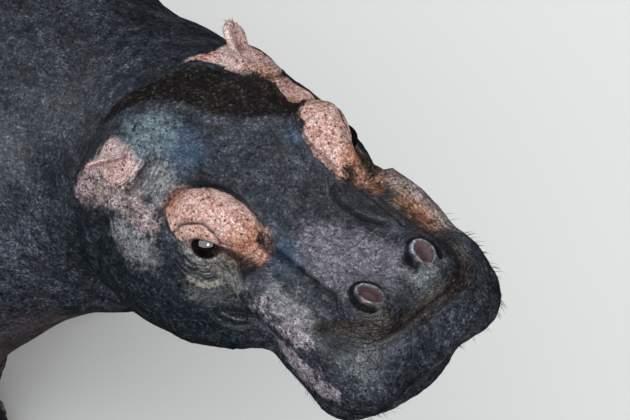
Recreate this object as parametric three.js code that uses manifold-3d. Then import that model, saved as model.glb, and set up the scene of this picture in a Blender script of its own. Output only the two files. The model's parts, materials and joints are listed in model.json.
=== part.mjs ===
// A young common hippopotamus, about a year old, standing still with its head raised level and
// turned a little to its right, at life size.
// Millimetres. +X points to the animal's front, +Y to its left, +Z up; the soles stand on z = 0.
//
// The body is one smooth form, written as a distance field: below zero inside, above zero outside.
// Each node is that form meshed on a grid of its own and parted from its neighbours by a thin cut.
import * as THREE from "three";
import { mergeVertices } from "three/addons/utils/BufferGeometryUtils.js";
import Module from "manifold-3d";

const wasm = await Module();
wasm.setup();

// ---------------------------------------------------------------- driving sizes

const CUT = 0.6; // width of the thin cuts between nodes
const TRUNK_REAR = -610;
const NECK_CUT_X = 425; // where the trunk ends and the neck begins
const HEAD_TURN = THREE.MathUtils.degToRad(-25); // to the animal's right
const NECK_PIVOT = { x: 430, y: 0 };
const NECK_REACH = 325; // from the pivot to the line between the eyes
const EYE_HEIGHT = 742; // above the floor
const HEAD_BACK = -168; // the head's rear cut at eye height, behind the eye line
const HEAD_CUT_LEAN = 0.3; // how far that cut leans forwards towards the throat, in radians
const MUZZLE_TIP = 262; // the upper lip's front, ahead of the eye line

const EYE = { x: 5, y: 96, z: -3, radius: 19 };
const EAR = { x: -128, y: 84, z: 14, length: 62, width: 38, wall: 7 };
// Each ear's way from root to tip, and the way its cup faces, in the head's frame for a left ear.
const EAR_UPRIGHT = { along: [-0.4, 0, 0.91], open: [0.75, 0.57, 0.33] };
const EAR_LAID_OUT = { along: [-0.08, 0.97, 0.22], open: [0.85, 0.1, -0.5] };
const FRONT_LEG = { x: 300, y: 158, hip: 345, knee: 195, wrist: 88, radii: [96, 70, 52] };
const HIND_LEG = { x: -425, y: 152, hip: 330, knee: 200, wrist: 90, radii: [104, 68, 47] };
const STRIDE = { frontLeft: 26, frontRight: -22, hindLeft: -26, hindRight: 24 };
const GROIN = { y: 66, frontHeight: 216, hindHeight: 226 }; // the inner, lower end of each leg's cut
const ANKLE_CUT = 80; // height of the cut between leg and foot
const TOE_TIP_HEIGHT = 17;
const NAIL_SLOPE = 0.5; // how far each nail's cut leans back from upright, in radians
const TOE_ANGLES = [-54, -19, 19, 54].map(THREE.MathUtils.degToRad);

// Grid steps of each node's mesh: finer where the form is smaller.
const GRID = { face: 14, head: 24, neck: 54, trunk: 72, leg: 48, foot: 25, tail: 18, ear: 7.5 };

const SKIN = { color: "#4d4f58", roughness: 0.5, metalness: 0 };
const PINK_SKIN = { color: "#b98a7c", roughness: 0.55, metalness: 0 };
const EYE_GLOSS = { color: "#15120f", roughness: 0.08, metalness: 0 };
const HORN = { color: "#57504a", roughness: 0.45, metalness: 0 };

// ---------------------------------------------------------------- distance fields

const clamp = (value, low, high) => Math.min(Math.max(value, low), high);

/** The smaller of two distances, blended over a band of the given width. */
function blend(a, b, width) {
  const share = Math.max(width - Math.abs(a - b), 0) / width;
  return Math.min(a, b) - (share * share * width) / 4;
}

/** The part common to both, with its edge rounded over the given width. */
const common = (a, b, width) => -blend(-a, -b, width);

/** A smooth curve through a few [place, value] knots, level beyond its ends. */
function curve(knots) {
  const slope = knots.map((_, i) => {
    const before = knots[Math.max(i - 1, 0)];
    const after = knots[Math.min(i + 1, knots.length - 1)];
    return (after[1] - before[1]) / (after[0] - before[0]);
  });
  return (x) => {
    const last = knots.length - 1;
    if (x <= knots[0][0]) return knots[0][1];
    if (x >= knots[last][0]) return knots[last][1];
    let i = 0;
    while (x > knots[i + 1][0]) i += 1;
    const span = knots[i + 1][0] - knots[i][0];
    const t = (x - knots[i][0]) / span;
    const [a, b] = [knots[i][1], knots[i + 1][1]];
    const rise = b - a;
    const [p, q] = [slope[i] * span - rise, rise - slope[i + 1] * span];
    return a + rise * t + t * (1 - t) * (p * (1 - t) + q * t);
  };
}

/** An ellipsoid, turned about the vertical by an angle. */
function ellipsoid(x, y, z, centre, radii, turn = 0) {
  const [cos, sin] = [Math.cos(turn), Math.sin(turn)];
  const [dx, dy] = [x - centre[0], y - centre[1]];
  const along = (dx * cos + dy * sin) / radii[0];
  const across = (dy * cos - dx * sin) / radii[1];
  const up = (z - centre[2]) / radii[2];
  const reach = Math.hypot(along, across, up);
  const slope = Math.hypot(along / radii[0], across / radii[1], up / radii[2]);
  return slope < 1e-9 ? -Math.min(...radii) : (reach * (reach - 1)) / slope;
}

/** A round limb from one point to another, whose radius changes evenly. */
function limb(x, y, z, from, to, radiusFrom, radiusTo) {
  const axis = [to[0] - from[0], to[1] - from[1], to[2] - from[2]];
  const offset = [x - from[0], y - from[1], z - from[2]];
  const lengthSquared = axis[0] ** 2 + axis[1] ** 2 + axis[2] ** 2;
  const dot = offset[0] * axis[0] + offset[1] * axis[1] + offset[2] * axis[2];
  const t = clamp(dot / lengthSquared, 0, 1);
  const away = Math.hypot(...offset.map((o, i) => o - axis[i] * t));
  return away - (radiusFrom + (radiusTo - radiusFrom) * t);
}

/** A rounded-box section that changes along x, between its upper and lower lines. */
function loft(x, y, z, shape) {
  const [top, bottom, half] = [shape.top(x), shape.bottom(x), shape.half(x)];
  const tall = (top - bottom) / 2;
  const across = Math.abs(y) / half;
  const up = Math.abs(z - bottom - tall) / tall;
  const reach = (across ** shape.square + up ** shape.square) ** (1 / shape.square);
  return (reach - 1) * Math.min(half, tall);
}

// ---------------------------------------------------------------- trunk, neck and legs

const TRUNK = {
  top: curve([
    [-620, 540], [-540, 624], [-420, 670], [-250, 694],
    [0, 692], [200, 684], [330, 688], [470, 662],
  ]),
  bottom: curve([
    [-620, 400], [-520, 300], [-400, 246], [-250, 208],
    [-50, 178], [120, 178], [260, 206], [360, 248], [470, 320],
  ]),
  half: curve([
    [-620, 120], [-540, 196], [-420, 238], [-250, 268],
    [-60, 290], [120, 288], [280, 260], [400, 226], [470, 196],
  ]),
  square: 2.2,
};
const TRUNK_FRONT = 470; // the trunk's own end, inside the neck

/** The barrel of the body, with a rounded rump and the masses of shoulder and haunch. */
function trunkField(x, y, z) {
  const side = Math.abs(y);
  let d = common(loft(x, side, z, TRUNK), TRUNK_REAR - x, 230);
  d = common(d, x - TRUNK_FRONT, 120);
  const shoulder = ellipsoid(x, side, z, [312, 142, 425], [130, 92, 200]);
  const haunch = ellipsoid(x, side, z, [-408, 138, 425], [150, 102, 200]);
  return blend(blend(d, shoulder, 60), haunch, 70);
}

/** One leg down to the wrist or hock, for the left side, standing at x. */
function legField(x, y, z, leg, footX, hind) {
  const [upper, middle, lower] = leg.radii;
  const bend = hind ? -16 : 8; // the hock lies behind the foot, the knee a little ahead
  const hip = [leg.x, leg.y - 4, leg.hip];
  const knee = [(leg.x + footX) / 2 + bend, leg.y + 2, leg.knee];
  const wrist = [footX + bend / 2, leg.y, leg.wrist];
  const d = limb(x, y, z, hip, knee, upper, middle);
  return blend(d, limb(x, y, z, knee, wrist, middle, lower), 24);
}

/** How far a toe reaches from the foot's middle: the two inner toes are the longer ones. */
const toeReach = (angle, size) => (Math.abs(angle) > TOE_ANGLES[2] + 0.1 ? 66 : 74) * size;

/** One broad foot: a round pad and four spread toes. */
function footField(x, y, z, footX, footY, size) {
  const pad = ellipsoid(x, y, z, [footX + 6, footY, 26], [60 * size, 57 * size, 44]);
  const ankle = limb(x, y, z, [footX, footY, 40], [footX, footY, 110], 50 * size, 47 * size);
  return TOE_ANGLES.reduce((d, angle) => {
    const reach = toeReach(angle, size);
    const tip = [footX + reach * Math.cos(angle), footY + reach * Math.sin(angle), TOE_TIP_HEIGHT];
    return blend(d, limb(x, y, z, [footX, footY, 34], tip, 26 * size, 21 * size), 22);
  }, blend(pad, ankle, 30));
}

const FEET = {
  front_left: { leg: FRONT_LEG, side: 1, step: STRIDE.frontLeft, size: 1, hind: false },
  front_right: { leg: FRONT_LEG, side: -1, step: STRIDE.frontRight, size: 1, hind: false },
  hind_left: { leg: HIND_LEG, side: 1, step: STRIDE.hindLeft, size: 0.93, hind: true },
  hind_right: { leg: HIND_LEG, side: -1, step: STRIDE.hindRight, size: 0.93, hind: true },
};

/** Where along the body the middle of a foot stands. */
const footPlace = ({ leg, step, hind }) => leg.x + step + (hind ? 14 : 10);

/** A leg and its foot, on its own side of the body. */
function wholeLegField(x, y, z, foot) {
  const { leg, side, size, hind } = foot;
  const footX = footPlace(foot);
  const d = legField(x, y * side, z, leg, footX, hind);
  return blend(d, footField(x, y * side, z, footX, leg.y, size), 20);
}

const TAIL_POINTS = [[-548, 0, 552, 40], [-612, 0, 520, 27], [-644, 0, 440, 18], [-648, 0, 350, 12]];

/** The short hanging tail, flattened from side to side towards its tip. */
function tailField(x, y, z) {
  const flat = 1 + 0.5 * clamp((520 - z) / 170, 0, 1);
  return TAIL_POINTS.slice(1).reduce((d, to, i) => {
    const from = TAIL_POINTS[i];
    return blend(d, limb(x, y * flat, z, from, to, from[3], to[3]), 12);
  }, Infinity);
}

// ---------------------------------------------------------------- head, in its own frame
// The head's frame has its origin midway between the eyes, x forwards, y left, z up.

const HEAD_AT = new THREE.Vector3(
  NECK_PIVOT.x + NECK_REACH * Math.cos(HEAD_TURN),
  NECK_PIVOT.y + NECK_REACH * Math.sin(HEAD_TURN),
  EYE_HEIGHT,
);

/** Head-frame coordinates of a point in the body's frame. */
function toHead(x, y, z) {
  const [dx, dy] = [x - HEAD_AT.x, y - HEAD_AT.y];
  const [cos, sin] = [Math.cos(HEAD_TURN), Math.sin(HEAD_TURN)];
  return [dx * cos + dy * sin, dy * cos - dx * sin, z - HEAD_AT.z];
}

/** Body-frame coordinates of a point in the head's frame. */
function fromHead(x, y, z) {
  const [cos, sin] = [Math.cos(HEAD_TURN), Math.sin(HEAD_TURN)];
  return [HEAD_AT.x + x * cos - y * sin, HEAD_AT.y + x * sin + y * cos, HEAD_AT.z + z];
}

const UPPER_HEAD = {
  top: curve([
    [-200, -8], [-150, 16], [-90, 27], [-30, 29], [30, 24],
    [80, 18], [130, 20], [180, 25], [225, 14], [262, -10],
  ]),
  bottom: curve([[-200, -150], [-80, -140], [20, -104], [90, -86], [160, -94], [220, -94], [262, -88]]),
  half: curve([
    [-200, 112], [-120, 116], [-60, 108], [0, 94], [50, 88],
    [95, 92], [140, 99], [185, 102], [225, 97], [262, 84],
  ]),
  square: 2.8,
};
const MANDIBLE = {
  top: () => -70,
  bottom: curve([[-200, -196], [-80, -192], [20, -172], [90, -156], [150, -160], [200, -168], [240, -158]]),
  half: curve([[-200, 112], [-80, 126], [20, 100], [90, 90], [150, 96], [195, 98], [240, 84]]),
  square: 2.5,
};

/** The line where the lips meet: its height along the head. */
const MOUTH = curve([[20, -62], [60, -74], [110, -92], [160, -98], [210, -96], [270, -90]]);
const MOUTH_CORNER_X = 26;

/** The head without its ears. */
function headField(x, y, z) {
  const side = Math.abs(y);
  let d = common(loft(x, side, z, UPPER_HEAD), x - MUZZLE_TIP, 62);
  const jaw = common(loft(x, side, z, MANDIBLE), x - (MUZZLE_TIP - 18), 70);
  const lip = ellipsoid(x, side, z, [178, 74, -48], [78, 44, 48]);
  const upperCheek = ellipsoid(x, side, z, [98, 90, -12], [70, 27, 22]);
  const nostrilMound = ellipsoid(x, side, z, [188, 40, 12], [36, 28, 30]);
  const nasalRidge = ellipsoid(x, side, z, [120, 22, -16], [110, 40, 40]);
  const furrow = ellipsoid(x, side, z, [122, 81, 33], [80, 13, 22], 0.1);
  const brow = ellipsoid(x, side, z, [2, 78, 4], [56, 36, 43], -0.28);
  const temple = ellipsoid(x, side, z, [-70, 112, 18], [34, 22, 26]);
  const cheek = ellipsoid(x, side, z, [-52, 88, -98], [110, 62, 88]);
  const earRoot = ellipsoid(x, side, z, [-126, 82, -2], [38, 30, 28]);
  const eyelidUnder = ellipsoid(x, side, z, [4, 84, -28], [48, 27, 22]);
  d = blend(d, lip, 24);
  d = blend(d, nasalRidge, 30);
  d = blend(d, upperCheek, 18);
  d = common(d, -furrow, 24);
  d = blend(d, nostrilMound, 14);
  d = common(d, -temple, 24);
  d = blend(d, eyelidUnder, 14);
  d = blend(d, brow, 9);
  d = blend(d, earRoot, 18);
  const lower = blend(jaw, cheek, 46);
  d = blend(d, lower, x > MOUTH_CORNER_X ? 10 : 10 + Math.min((MOUTH_CORNER_X - x) * 0.5, 30));
  return common(d, HEAD_BACK - 34 - x, 70);
}

/** The neck, thick and short, from the back of the head down into the shoulders. */
function neckField(x, y, z) {
  const front = fromHead(-130, 0, -100);
  const middle = [520, -34, 548];
  const d = limb(x, y, z, front, middle, 112, 156);
  return blend(d, limb(x, y, z, middle, [360, 0, 470], 156, 208), 60);
}

/** The opening between the eyelids, which bares the eyeball. It faces outwards, a little up and forwards. */
function eyeOpening(x, y, z) {
  const centre = [EYE.x + 2, EYE.y + 0.86 * EYE.radius, EYE.z + 0.3 * EYE.radius];
  return ellipsoid(x, Math.abs(y), z, centre, [21, 15, 14.5], -0.1);
}

/** The whole animal but its tail, ears, eyes and nails. */
function bodyField(x, y, z) {
  let d = trunkField(x, y, z);
  for (const foot of Object.values(FEET)) d = blend(d, wholeLegField(x, y, z, foot), 44);
  d = blend(d, neckField(x, y, z), 70);
  const [hx, hy, hz] = toHead(x, y, z);
  const head = headField(hx, hy, hz);
  const neckBlend = clamp(60 - (hx + 100) * 0.9, 6, 60); // tight towards the face
  d = blend(d, head, neckBlend);
  return common(d, -eyeOpening(hx, hy, hz), 5);
}

// ---------------------------------------------------------------- meshing

/** Grid places from low to high, stepping by a size that may depend on the place. */
function places(low, high, step) {
  const found = [low];
  while (found[found.length - 1] < high) {
    const at = found[found.length - 1];
    found.push(at + (typeof step === "number" ? step : step(at)));
  }
  return found;
}

/**
 * Turns over the weakest corner of each grid square whose signs alternate,
 * so that no two sheets of the surface share an edge.
 */
function settle(values, [nx, ny, nz], index) {
  const pairs = [[[1, 0, 0], [0, 1, 0]], [[1, 0, 0], [0, 0, 1]], [[0, 1, 0], [0, 0, 1]]];
  for (let changed = true; changed; ) {
    changed = false;
    for (let i = 1; i < nx - 2; i++)
      for (let j = 1; j < ny - 2; j++)
        for (let k = 1; k < nz - 2; k++)
          for (const [u, v] of pairs) {
            const square = [
              index(i, j, k),
              index(i + u[0], j + u[1], k + u[2]),
              index(i + u[0] + v[0], j + u[1] + v[1], k + u[2] + v[2]),
              index(i + v[0], j + v[1], k + v[2]),
            ];
            const inside = square.map((at) => values[at] < 0);
            if (inside[0] !== inside[2] || inside[1] !== inside[3] || inside[0] === inside[1]) continue;
            const weakest = square.reduce((a, b) => (Math.abs(values[a]) < Math.abs(values[b]) ? a : b));
            values[weakest] *= -1;
            changed = true;
          }
  }
}

/** A point moved along the field's slope to its zero surface, by no more than a given reach. */
function ontoSurface(field, [x, y, z], reach) {
  const value = field(x, y, z);
  const slope = [field(x + 1, y, z) - value, field(x, y + 1, z) - value, field(x, y, z + 1) - value];
  const squared = slope[0] ** 2 + slope[1] ** 2 + slope[2] ** 2;
  if (squared < 0.05) return [x, y, z];
  const wanted = value / squared;
  const step = clamp(wanted, -reach, reach);
  return [x - slope[0] * step, y - slope[1] * step, z - slope[2] * step];
}

/**
 * A closed mesh of a field's zero surface: one vertex in each cell that it
 * crosses, and one quad across each edge.
 */
function surface(field, xs, ys, zs) {
  const [nx, ny, nz] = [xs.length, ys.length, zs.length];
  const index = (i, j, k) => (i * ny + j) * nz + k;
  const values = new Float64Array(nx * ny * nz);
  for (let i = 0; i < nx; i++)
    for (let j = 0; j < ny; j++)
      for (let k = 0; k < nz; k++) {
        const rim = i === 0 || j === 0 || k === 0 || i === nx - 1 || j === ny - 1 || k === nz - 1;
        const value = field(xs[i], ys[j], zs[k]);
        values[index(i, j, k)] = rim ? Math.max(value, 0.01) : value || 1e-6;
      }
  settle(values, [nx, ny, nz], index);
  const vertexOf = new Int32Array(nx * ny * nz).fill(-1);
  const vertices = [];
  const corners = [0, 1, 2, 3, 4, 5, 6, 7].map((c) => [c & 1, (c >> 1) & 1, (c >> 2) & 1]);
  const edges = corners.flatMap((a, m) =>
    corners.flatMap((b, n) => (m < n && [1, 2, 4].includes(m ^ n) ? [[a, b]] : [])),
  );
  for (let i = 0; i < nx - 1; i++)
    for (let j = 0; j < ny - 1; j++)
      for (let k = 0; k < nz - 1; k++) {
        const sum = [0, 0, 0];
        let crossed = 0;
        for (const [a, b] of edges) {
          const va = values[index(i + a[0], j + a[1], k + a[2])];
          const vb = values[index(i + b[0], j + b[1], k + b[2])];
          if (va < 0 === vb < 0) continue;
          const t = va / (va - vb);
          const pa = [xs[i + a[0]], ys[j + a[1]], zs[k + a[2]]];
          const pb = [xs[i + b[0]], ys[j + b[1]], zs[k + b[2]]];
          for (let n = 0; n < 3; n++) sum[n] += pa[n] + (pb[n] - pa[n]) * t;
          crossed += 1;
        }
        if (!crossed) continue;
        vertexOf[index(i, j, k)] = vertices.length / 3;
        const reach = 0.25 * Math.min(xs[i + 1] - xs[i], ys[j + 1] - ys[j], zs[k + 1] - zs[k]);
        vertices.push(...ontoSurface(field, sum.map((s) => s / crossed), reach));
      }
  const triangles = [];
  const quad = (a, b, c, d, flip) =>
    flip ? triangles.push(a, c, b, a, d, c) : triangles.push(a, b, c, a, c, d);
  for (let i = 0; i < nx - 1; i++)
    for (let j = 0; j < ny - 1; j++)
      for (let k = 0; k < nz - 1; k++) {
        const here = values[index(i, j, k)] < 0;
        const v = (a, b, c) => vertexOf[index(i - a, j - b, k - c)];
        if (j && k && here !== values[index(i + 1, j, k)] < 0)
          quad(v(0, 0, 0), v(0, 1, 0), v(0, 1, 1), v(0, 0, 1), !here);
        if (i && k && here !== values[index(i, j + 1, k)] < 0)
          quad(v(0, 0, 0), v(0, 0, 1), v(1, 0, 1), v(1, 0, 0), !here);
        if (i && j && here !== values[index(i, j, k + 1)] < 0)
          quad(v(0, 0, 0), v(1, 0, 0), v(1, 1, 0), v(0, 1, 0), !here);
      }
  return new wasm.Manifold(
    new wasm.Mesh({
      numProp: 3,
      vertProperties: new Float32Array(vertices),
      triVerts: new Uint32Array(triangles),
    }),
  );
}

/** A three.js geometry as a solid. */
function solidOf(geometry) {
  const bare = geometry.clone();
  for (const name of ["normal", "uv"]) bare.deleteAttribute(name);
  const merged = mergeVertices(bare, 1e-3);
  return new wasm.Manifold(
    new wasm.Mesh({
      numProp: 3,
      vertProperties: merged.attributes.position.array,
      triVerts: new Uint32Array(merged.index.array),
    }),
  );
}

/** A box between two corners, as a cutting block, after an optional turn about x. */
function block(low, high, tilt = 0, pivot = [0, 0, 0]) {
  const size = high.map((h, i) => h - low[i]);
  const geometry = new THREE.BoxGeometry(...size);
  geometry.translate(...low.map((l, i) => l + size[i] / 2 - pivot[i]));
  geometry.rotateX(tilt);
  geometry.translate(...pivot);
  return solidOf(geometry);
}

/** A solid turned back into a three.js mesh with a name and a finish. */
function meshOf(name, solid, finish) {
  const made = solid.getMesh();
  const positions = new Float32Array(made.numVert * 3);
  for (let i = 0; i < made.numVert; i++)
    positions.set(made.vertProperties.subarray(i * made.numProp, i * made.numProp + 3), i * 3);
  const geometry = new THREE.BufferGeometry();
  geometry.setAttribute("position", new THREE.BufferAttribute(positions, 3));
  geometry.setIndex(new THREE.BufferAttribute(new Uint32Array(made.triVerts), 1));
  geometry.computeVertexNormals();
  const mesh = new THREE.Mesh(geometry, new THREE.MeshStandardMaterial(finish));
  mesh.name = name;
  return mesh;
}

/** The largest of a solid's separate bodies, without any crumbs that a cut left. */
const largest = (solid) => solid.decompose().sort((a, b) => b.volume() - a.volume())[0];

// ---------------------------------------------------------------- head pieces

const FAR = 2000; // past the animal on every side

/** The block below the mouth line and ahead of the jaw's angle, grown by a margin. */
function jawBlock(margin) {
  const outline = new THREE.Shape();
  outline.moveTo(MUZZLE_TIP + 60, MOUTH(MUZZLE_TIP + 60) + margin);
  for (let x = MUZZLE_TIP + 40; x > MOUTH_CORNER_X; x -= 18) outline.lineTo(x, MOUTH(x) + margin);
  outline.lineTo(MOUTH_CORNER_X - margin, MOUTH(MOUTH_CORNER_X) + margin);
  outline.lineTo(-70 - margin, -146 + margin);
  outline.lineTo(-112 - margin, -260);
  outline.lineTo(MUZZLE_TIP + 60, -260);
  const geometry = new THREE.ExtrudeGeometry(outline, { depth: 600, bevelEnabled: false });
  geometry.rotateX(Math.PI / 2);
  geometry.translate(0, 300, 0);
  return solidOf(geometry);
}

/** The field of the whole body, read in the head's frame. */
const bodyInHeadFrame = (x, y, z) => bodyField(...fromHead(x, y, z));

/** Steps of the head's grid: finer about the eyes than elsewhere. */
const headStepX = (x) => (x > -26 && x < 38 ? GRID.face : GRID.head);
const headStepY = (y) => (Math.abs(y) > 80 && Math.abs(y) < 116 ? GRID.face : GRID.head - 1);
const headStepZ = (z) => (z > -26 && z < 46 ? GRID.face : GRID.head);

/** The block ahead of the head's rear cut (side 1) or behind it (side -1), in the head's frame. */
function headCutBlock(side, margin) {
  const geometry = new THREE.BoxGeometry(FAR, 2 * FAR, 2 * FAR);
  geometry.translate(side * (FAR / 2 + margin), 0, 0);
  geometry.rotateY(-HEAD_CUT_LEAN);
  geometry.translate(HEAD_BACK, 0, 0);
  return solidOf(geometry);
}

/** The head and the jaw as solids in the head's frame, and the head grown by the cut's width. */
function headSolids() {
  const xs = places(HEAD_BACK - 30, MUZZLE_TIP + 20, headStepX);
  const left = places(0, 190, headStepY);
  const ys = [...left.slice(1).map((y) => -y).reverse(), ...left];
  const zs = places(-262, 70, headStepZ);
  const whole = surface(bodyInHeadFrame, xs, ys, zs).intersect(headCutBlock(1, 0));
  const grown = surface((x, y, z) => bodyInHeadFrame(x, y, z) - 2 * CUT, xs, ys, zs);
  const sockets = [-1, 1].map((side) =>
    solidOf(eyeBall(EYE.radius + CUT).translate(EYE.x, side * EYE.y, EYE.z)),
  );
  const head = sockets.reduce((solid, socket) => solid.subtract(socket), whole);
  return {
    head: largest(head.subtract(jawBlock(CUT))),
    jaw: largest(head.intersect(jawBlock(0))),
    grown,
  };
}

/** An eyeball of a given radius, facing outwards. */
function eyeBall(radius) {
  return new THREE.SphereGeometry(radius, 14, 8);
}

/** One cupped ear: a thin oval shell on a short stalk, along +x from its root, its cup open towards +z. */
function earField(x, y, z) {
  const { length, width, wall } = EAR;
  const centre = length * 0.6;
  const bow = ((x - centre) ** 2 + (y * 1.5) ** 2) / 220; // the rim curls up around the cup
  const outline = Math.hypot((x - centre) / (length * 0.46), y / (width * 0.5));
  const blade = common(Math.abs(z - bow * 0.75 + 5) - wall / 2, (outline - 1) * width * 0.5, 5);
  const stalk = limb(x, y, z, [-8, 0, 0], [length * 0.36, 0, -1], 13, 8);
  const bowl = ellipsoid(x, y, z, [length * 0.52, 0, 12], [length * 0.34, width * 0.3, 13]);
  return common(blend(blade, stalk, 10), -bowl, 4);
}

/** An ear at its root, on one side, cleared of the head. */
function ear(side, headGrown, { along, open }) {
  const xs = places(-26, EAR.length * 1.14, GRID.ear);
  const ys = places(-EAR.width * 0.66, EAR.width * 0.66, 7);
  const zs = places(-22, 34, 5);
  const tipward = new THREE.Vector3(...along).normalize();
  const across = new THREE.Vector3(...open).cross(tipward).normalize();
  const turned = new THREE.Matrix4().makeBasis(tipward, across, tipward.clone().cross(across));
  turned.setPosition(EAR.x, EAR.y, EAR.z);
  if (side < 0) turned.premultiply(new THREE.Matrix4().makeScale(1, -1, 1));
  const placed = surface(earField, xs, ys, zs).transform(turned.elements);
  return largest(placed.subtract(headGrown));
}

// ---------------------------------------------------------------- feet

/** The block in front of each toe's cut, which parts its nail from the foot. */
function nailBlocks(foot, margin) {
  const { leg, side, size } = foot;
  const footX = footPlace(foot);
  return TOE_ANGLES.map((angle) => {
    const reach = toeReach(angle, size);
    const geometry = new THREE.BoxGeometry(60, 36 * size + 2 * margin, 90);
    geometry.translate(30 - margin, 0, 0);
    geometry.rotateY(NAIL_SLOPE);
    geometry.rotateZ(side * angle);
    const across = leg.y + reach * Math.sin(angle);
    geometry.translate(footX + reach * Math.cos(angle), side * across, TOE_TIP_HEIGHT);
    return solidOf(geometry);
  });
}

// ---------------------------------------------------------------- the animal

const animal = new THREE.Group();
const head = new THREE.Group();
head.position.copy(HEAD_AT);
head.rotation.z = HEAD_TURN;
animal.add(head);

const skull = headSolids();
head.add(meshOf("head", skull.head, SKIN), meshOf("jaw", skull.jaw, SKIN));
for (const [name, side, pose] of [["ear_left", 1, EAR_UPRIGHT], ["ear_right", -1, EAR_LAID_OUT]]) {
  head.add(meshOf(name, ear(side, skull.grown, pose), PINK_SKIN));
}
for (const [name, side] of [["eye_left", 1], ["eye_right", -1]]) {
  const eye = new THREE.Mesh(eyeBall(EYE.radius), new THREE.MeshStandardMaterial(EYE_GLOSS));
  eye.name = name;
  eye.position.set(EYE.x, side * EYE.y, EYE.z);
  head.add(eye);
}

const neckForm = surface(
  bodyField,
  places(380, 720, GRID.neck),
  places(-310, 310, GRID.neck),
  places(200, 840, GRID.neck),
);
const headPlace = new THREE.Matrix4().makeRotationZ(HEAD_TURN).setPosition(HEAD_AT);
const behindHead = headCutBlock(-1, CUT).transform(headPlace.elements);
const neckBlock = block([NECK_CUT_X + CUT, -FAR, 210], [FAR, FAR, FAR]).intersect(behindHead);
animal.add(meshOf("neck", largest(neckForm.intersect(neckBlock)), SKIN));

/** The block that takes in one leg, below a cut that slopes up from groin to flank. */
function legBlock({ leg, side, hind }, margin) {
  const groin = [leg.x, side * GROIN.y, hind ? GROIN.hindHeight : GROIN.frontHeight];
  const reach = (hind ? 150 : 132) + margin;
  const below = block(
    [leg.x - reach, -FAR, -FAR],
    [leg.x + reach, FAR, groin[2] + margin],
    side * THREE.MathUtils.degToRad(hind ? 31 : 27),
    groin,
  );
  const wall = GROIN.y - margin;
  const [low, high] = side > 0 ? [wall, FAR] : [-FAR, -wall];
  const outside = block([-FAR, low, -FAR], [FAR, high, FAR]);
  return below.intersect(outside);
}

const aboveFloor = block([-FAR, -FAR, 0], [FAR, FAR, FAR]);
const trunkGrid = [
  places(-700, 500, GRID.trunk),
  places(-360, 360, GRID.trunk),
  places(120, 800, GRID.trunk - 4),
];
let trunk = surface(bodyField, ...trunkGrid).intersect(block([-FAR, -FAR, -FAR], [NECK_CUT_X, FAR, FAR]));

for (const [name, foot] of Object.entries(FEET)) {
  const { leg, side, hind } = foot;
  const footX = footPlace(foot);
  const outward = places(24, 340, GRID.leg);
  const ys = side > 0 ? outward : outward.map((y) => -y).reverse();
  const xs = places(leg.x - 200, leg.x + 200, GRID.leg);
  const legForm = surface(bodyField, xs, ys, places(20, 430, GRID.leg));
  const cutBelow = block([-FAR, -FAR, ANKLE_CUT + CUT], [FAR, FAR, FAR]);
  const legSolid = legForm.intersect(legBlock(foot, 0)).intersect(cutBelow);
  animal.add(meshOf(`leg_${name}`, largest(legSolid), SKIN));
  trunk = trunk.subtract(legBlock(foot, CUT));

  const footForm = surface(
    bodyField,
    places(footX - 106, footX + 120, GRID.foot),
    places(side * leg.y - 4 * GRID.foot, side * leg.y + 4 * GRID.foot, GRID.foot),
    places(-30, 116, GRID.foot - 1),
  );
  let footSolid = footForm.intersect(block([-FAR, -FAR, 0], [FAR, FAR, ANKLE_CUT]));
  nailBlocks(foot, 0).forEach((tip, i) => {
    animal.add(meshOf(`nail_${name}_${i + 1}`, largest(footSolid.intersect(tip)), HORN));
  });
  for (const tip of nailBlocks(foot, CUT)) footSolid = footSolid.subtract(tip);
  animal.add(meshOf(`foot_${name}`, largest(footSolid), SKIN));
}

/** The block at the rump that takes in the tail and its root. */
const tailBlock = (margin) => block([-FAR, -50 - margin, 300], [-556 + margin, 50 + margin, 634 + margin]);
const tailWithRump = (x, y, z) => blend(trunkField(x, y, z), tailField(x, y, z), 26);
const tailForm = surface(
  tailWithRump,
  places(-700, -520, GRID.tail),
  places(-72, 72, GRID.tail),
  places(306, 680, 2 * GRID.tail - 2),
);
animal.add(meshOf("tail", largest(tailForm.intersect(tailBlock(0))), SKIN));
trunk = trunk.subtract(tailBlock(CUT));
animal.add(meshOf("trunk", largest(trunk.intersect(aboveFloor)), SKIN));

// The origin is the middle of the animal's footprint box, on the floor.
const bounds = new THREE.Box3().setFromObject(animal, true);
animal.position.set(-(bounds.min.x + bounds.max.x) / 2, -(bounds.min.y + bounds.max.y) / 2, 0);

export default animal;
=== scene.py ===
"""A young common hippopotamus at life size, standing still: one skin with eyes, toenails and bristles.

Metres, +X forwards, +Y to the animal's left, +Z up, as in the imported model. The head is shaped in a
frame of its own, in millimetres: the origin midway between the eyes, x forwards, y left, z up.
"""

import json
import logging
import math
from contextlib import contextmanager
from dataclasses import dataclass, field
from enum import Enum
from typing import Callable, Iterator, Sequence

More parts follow.
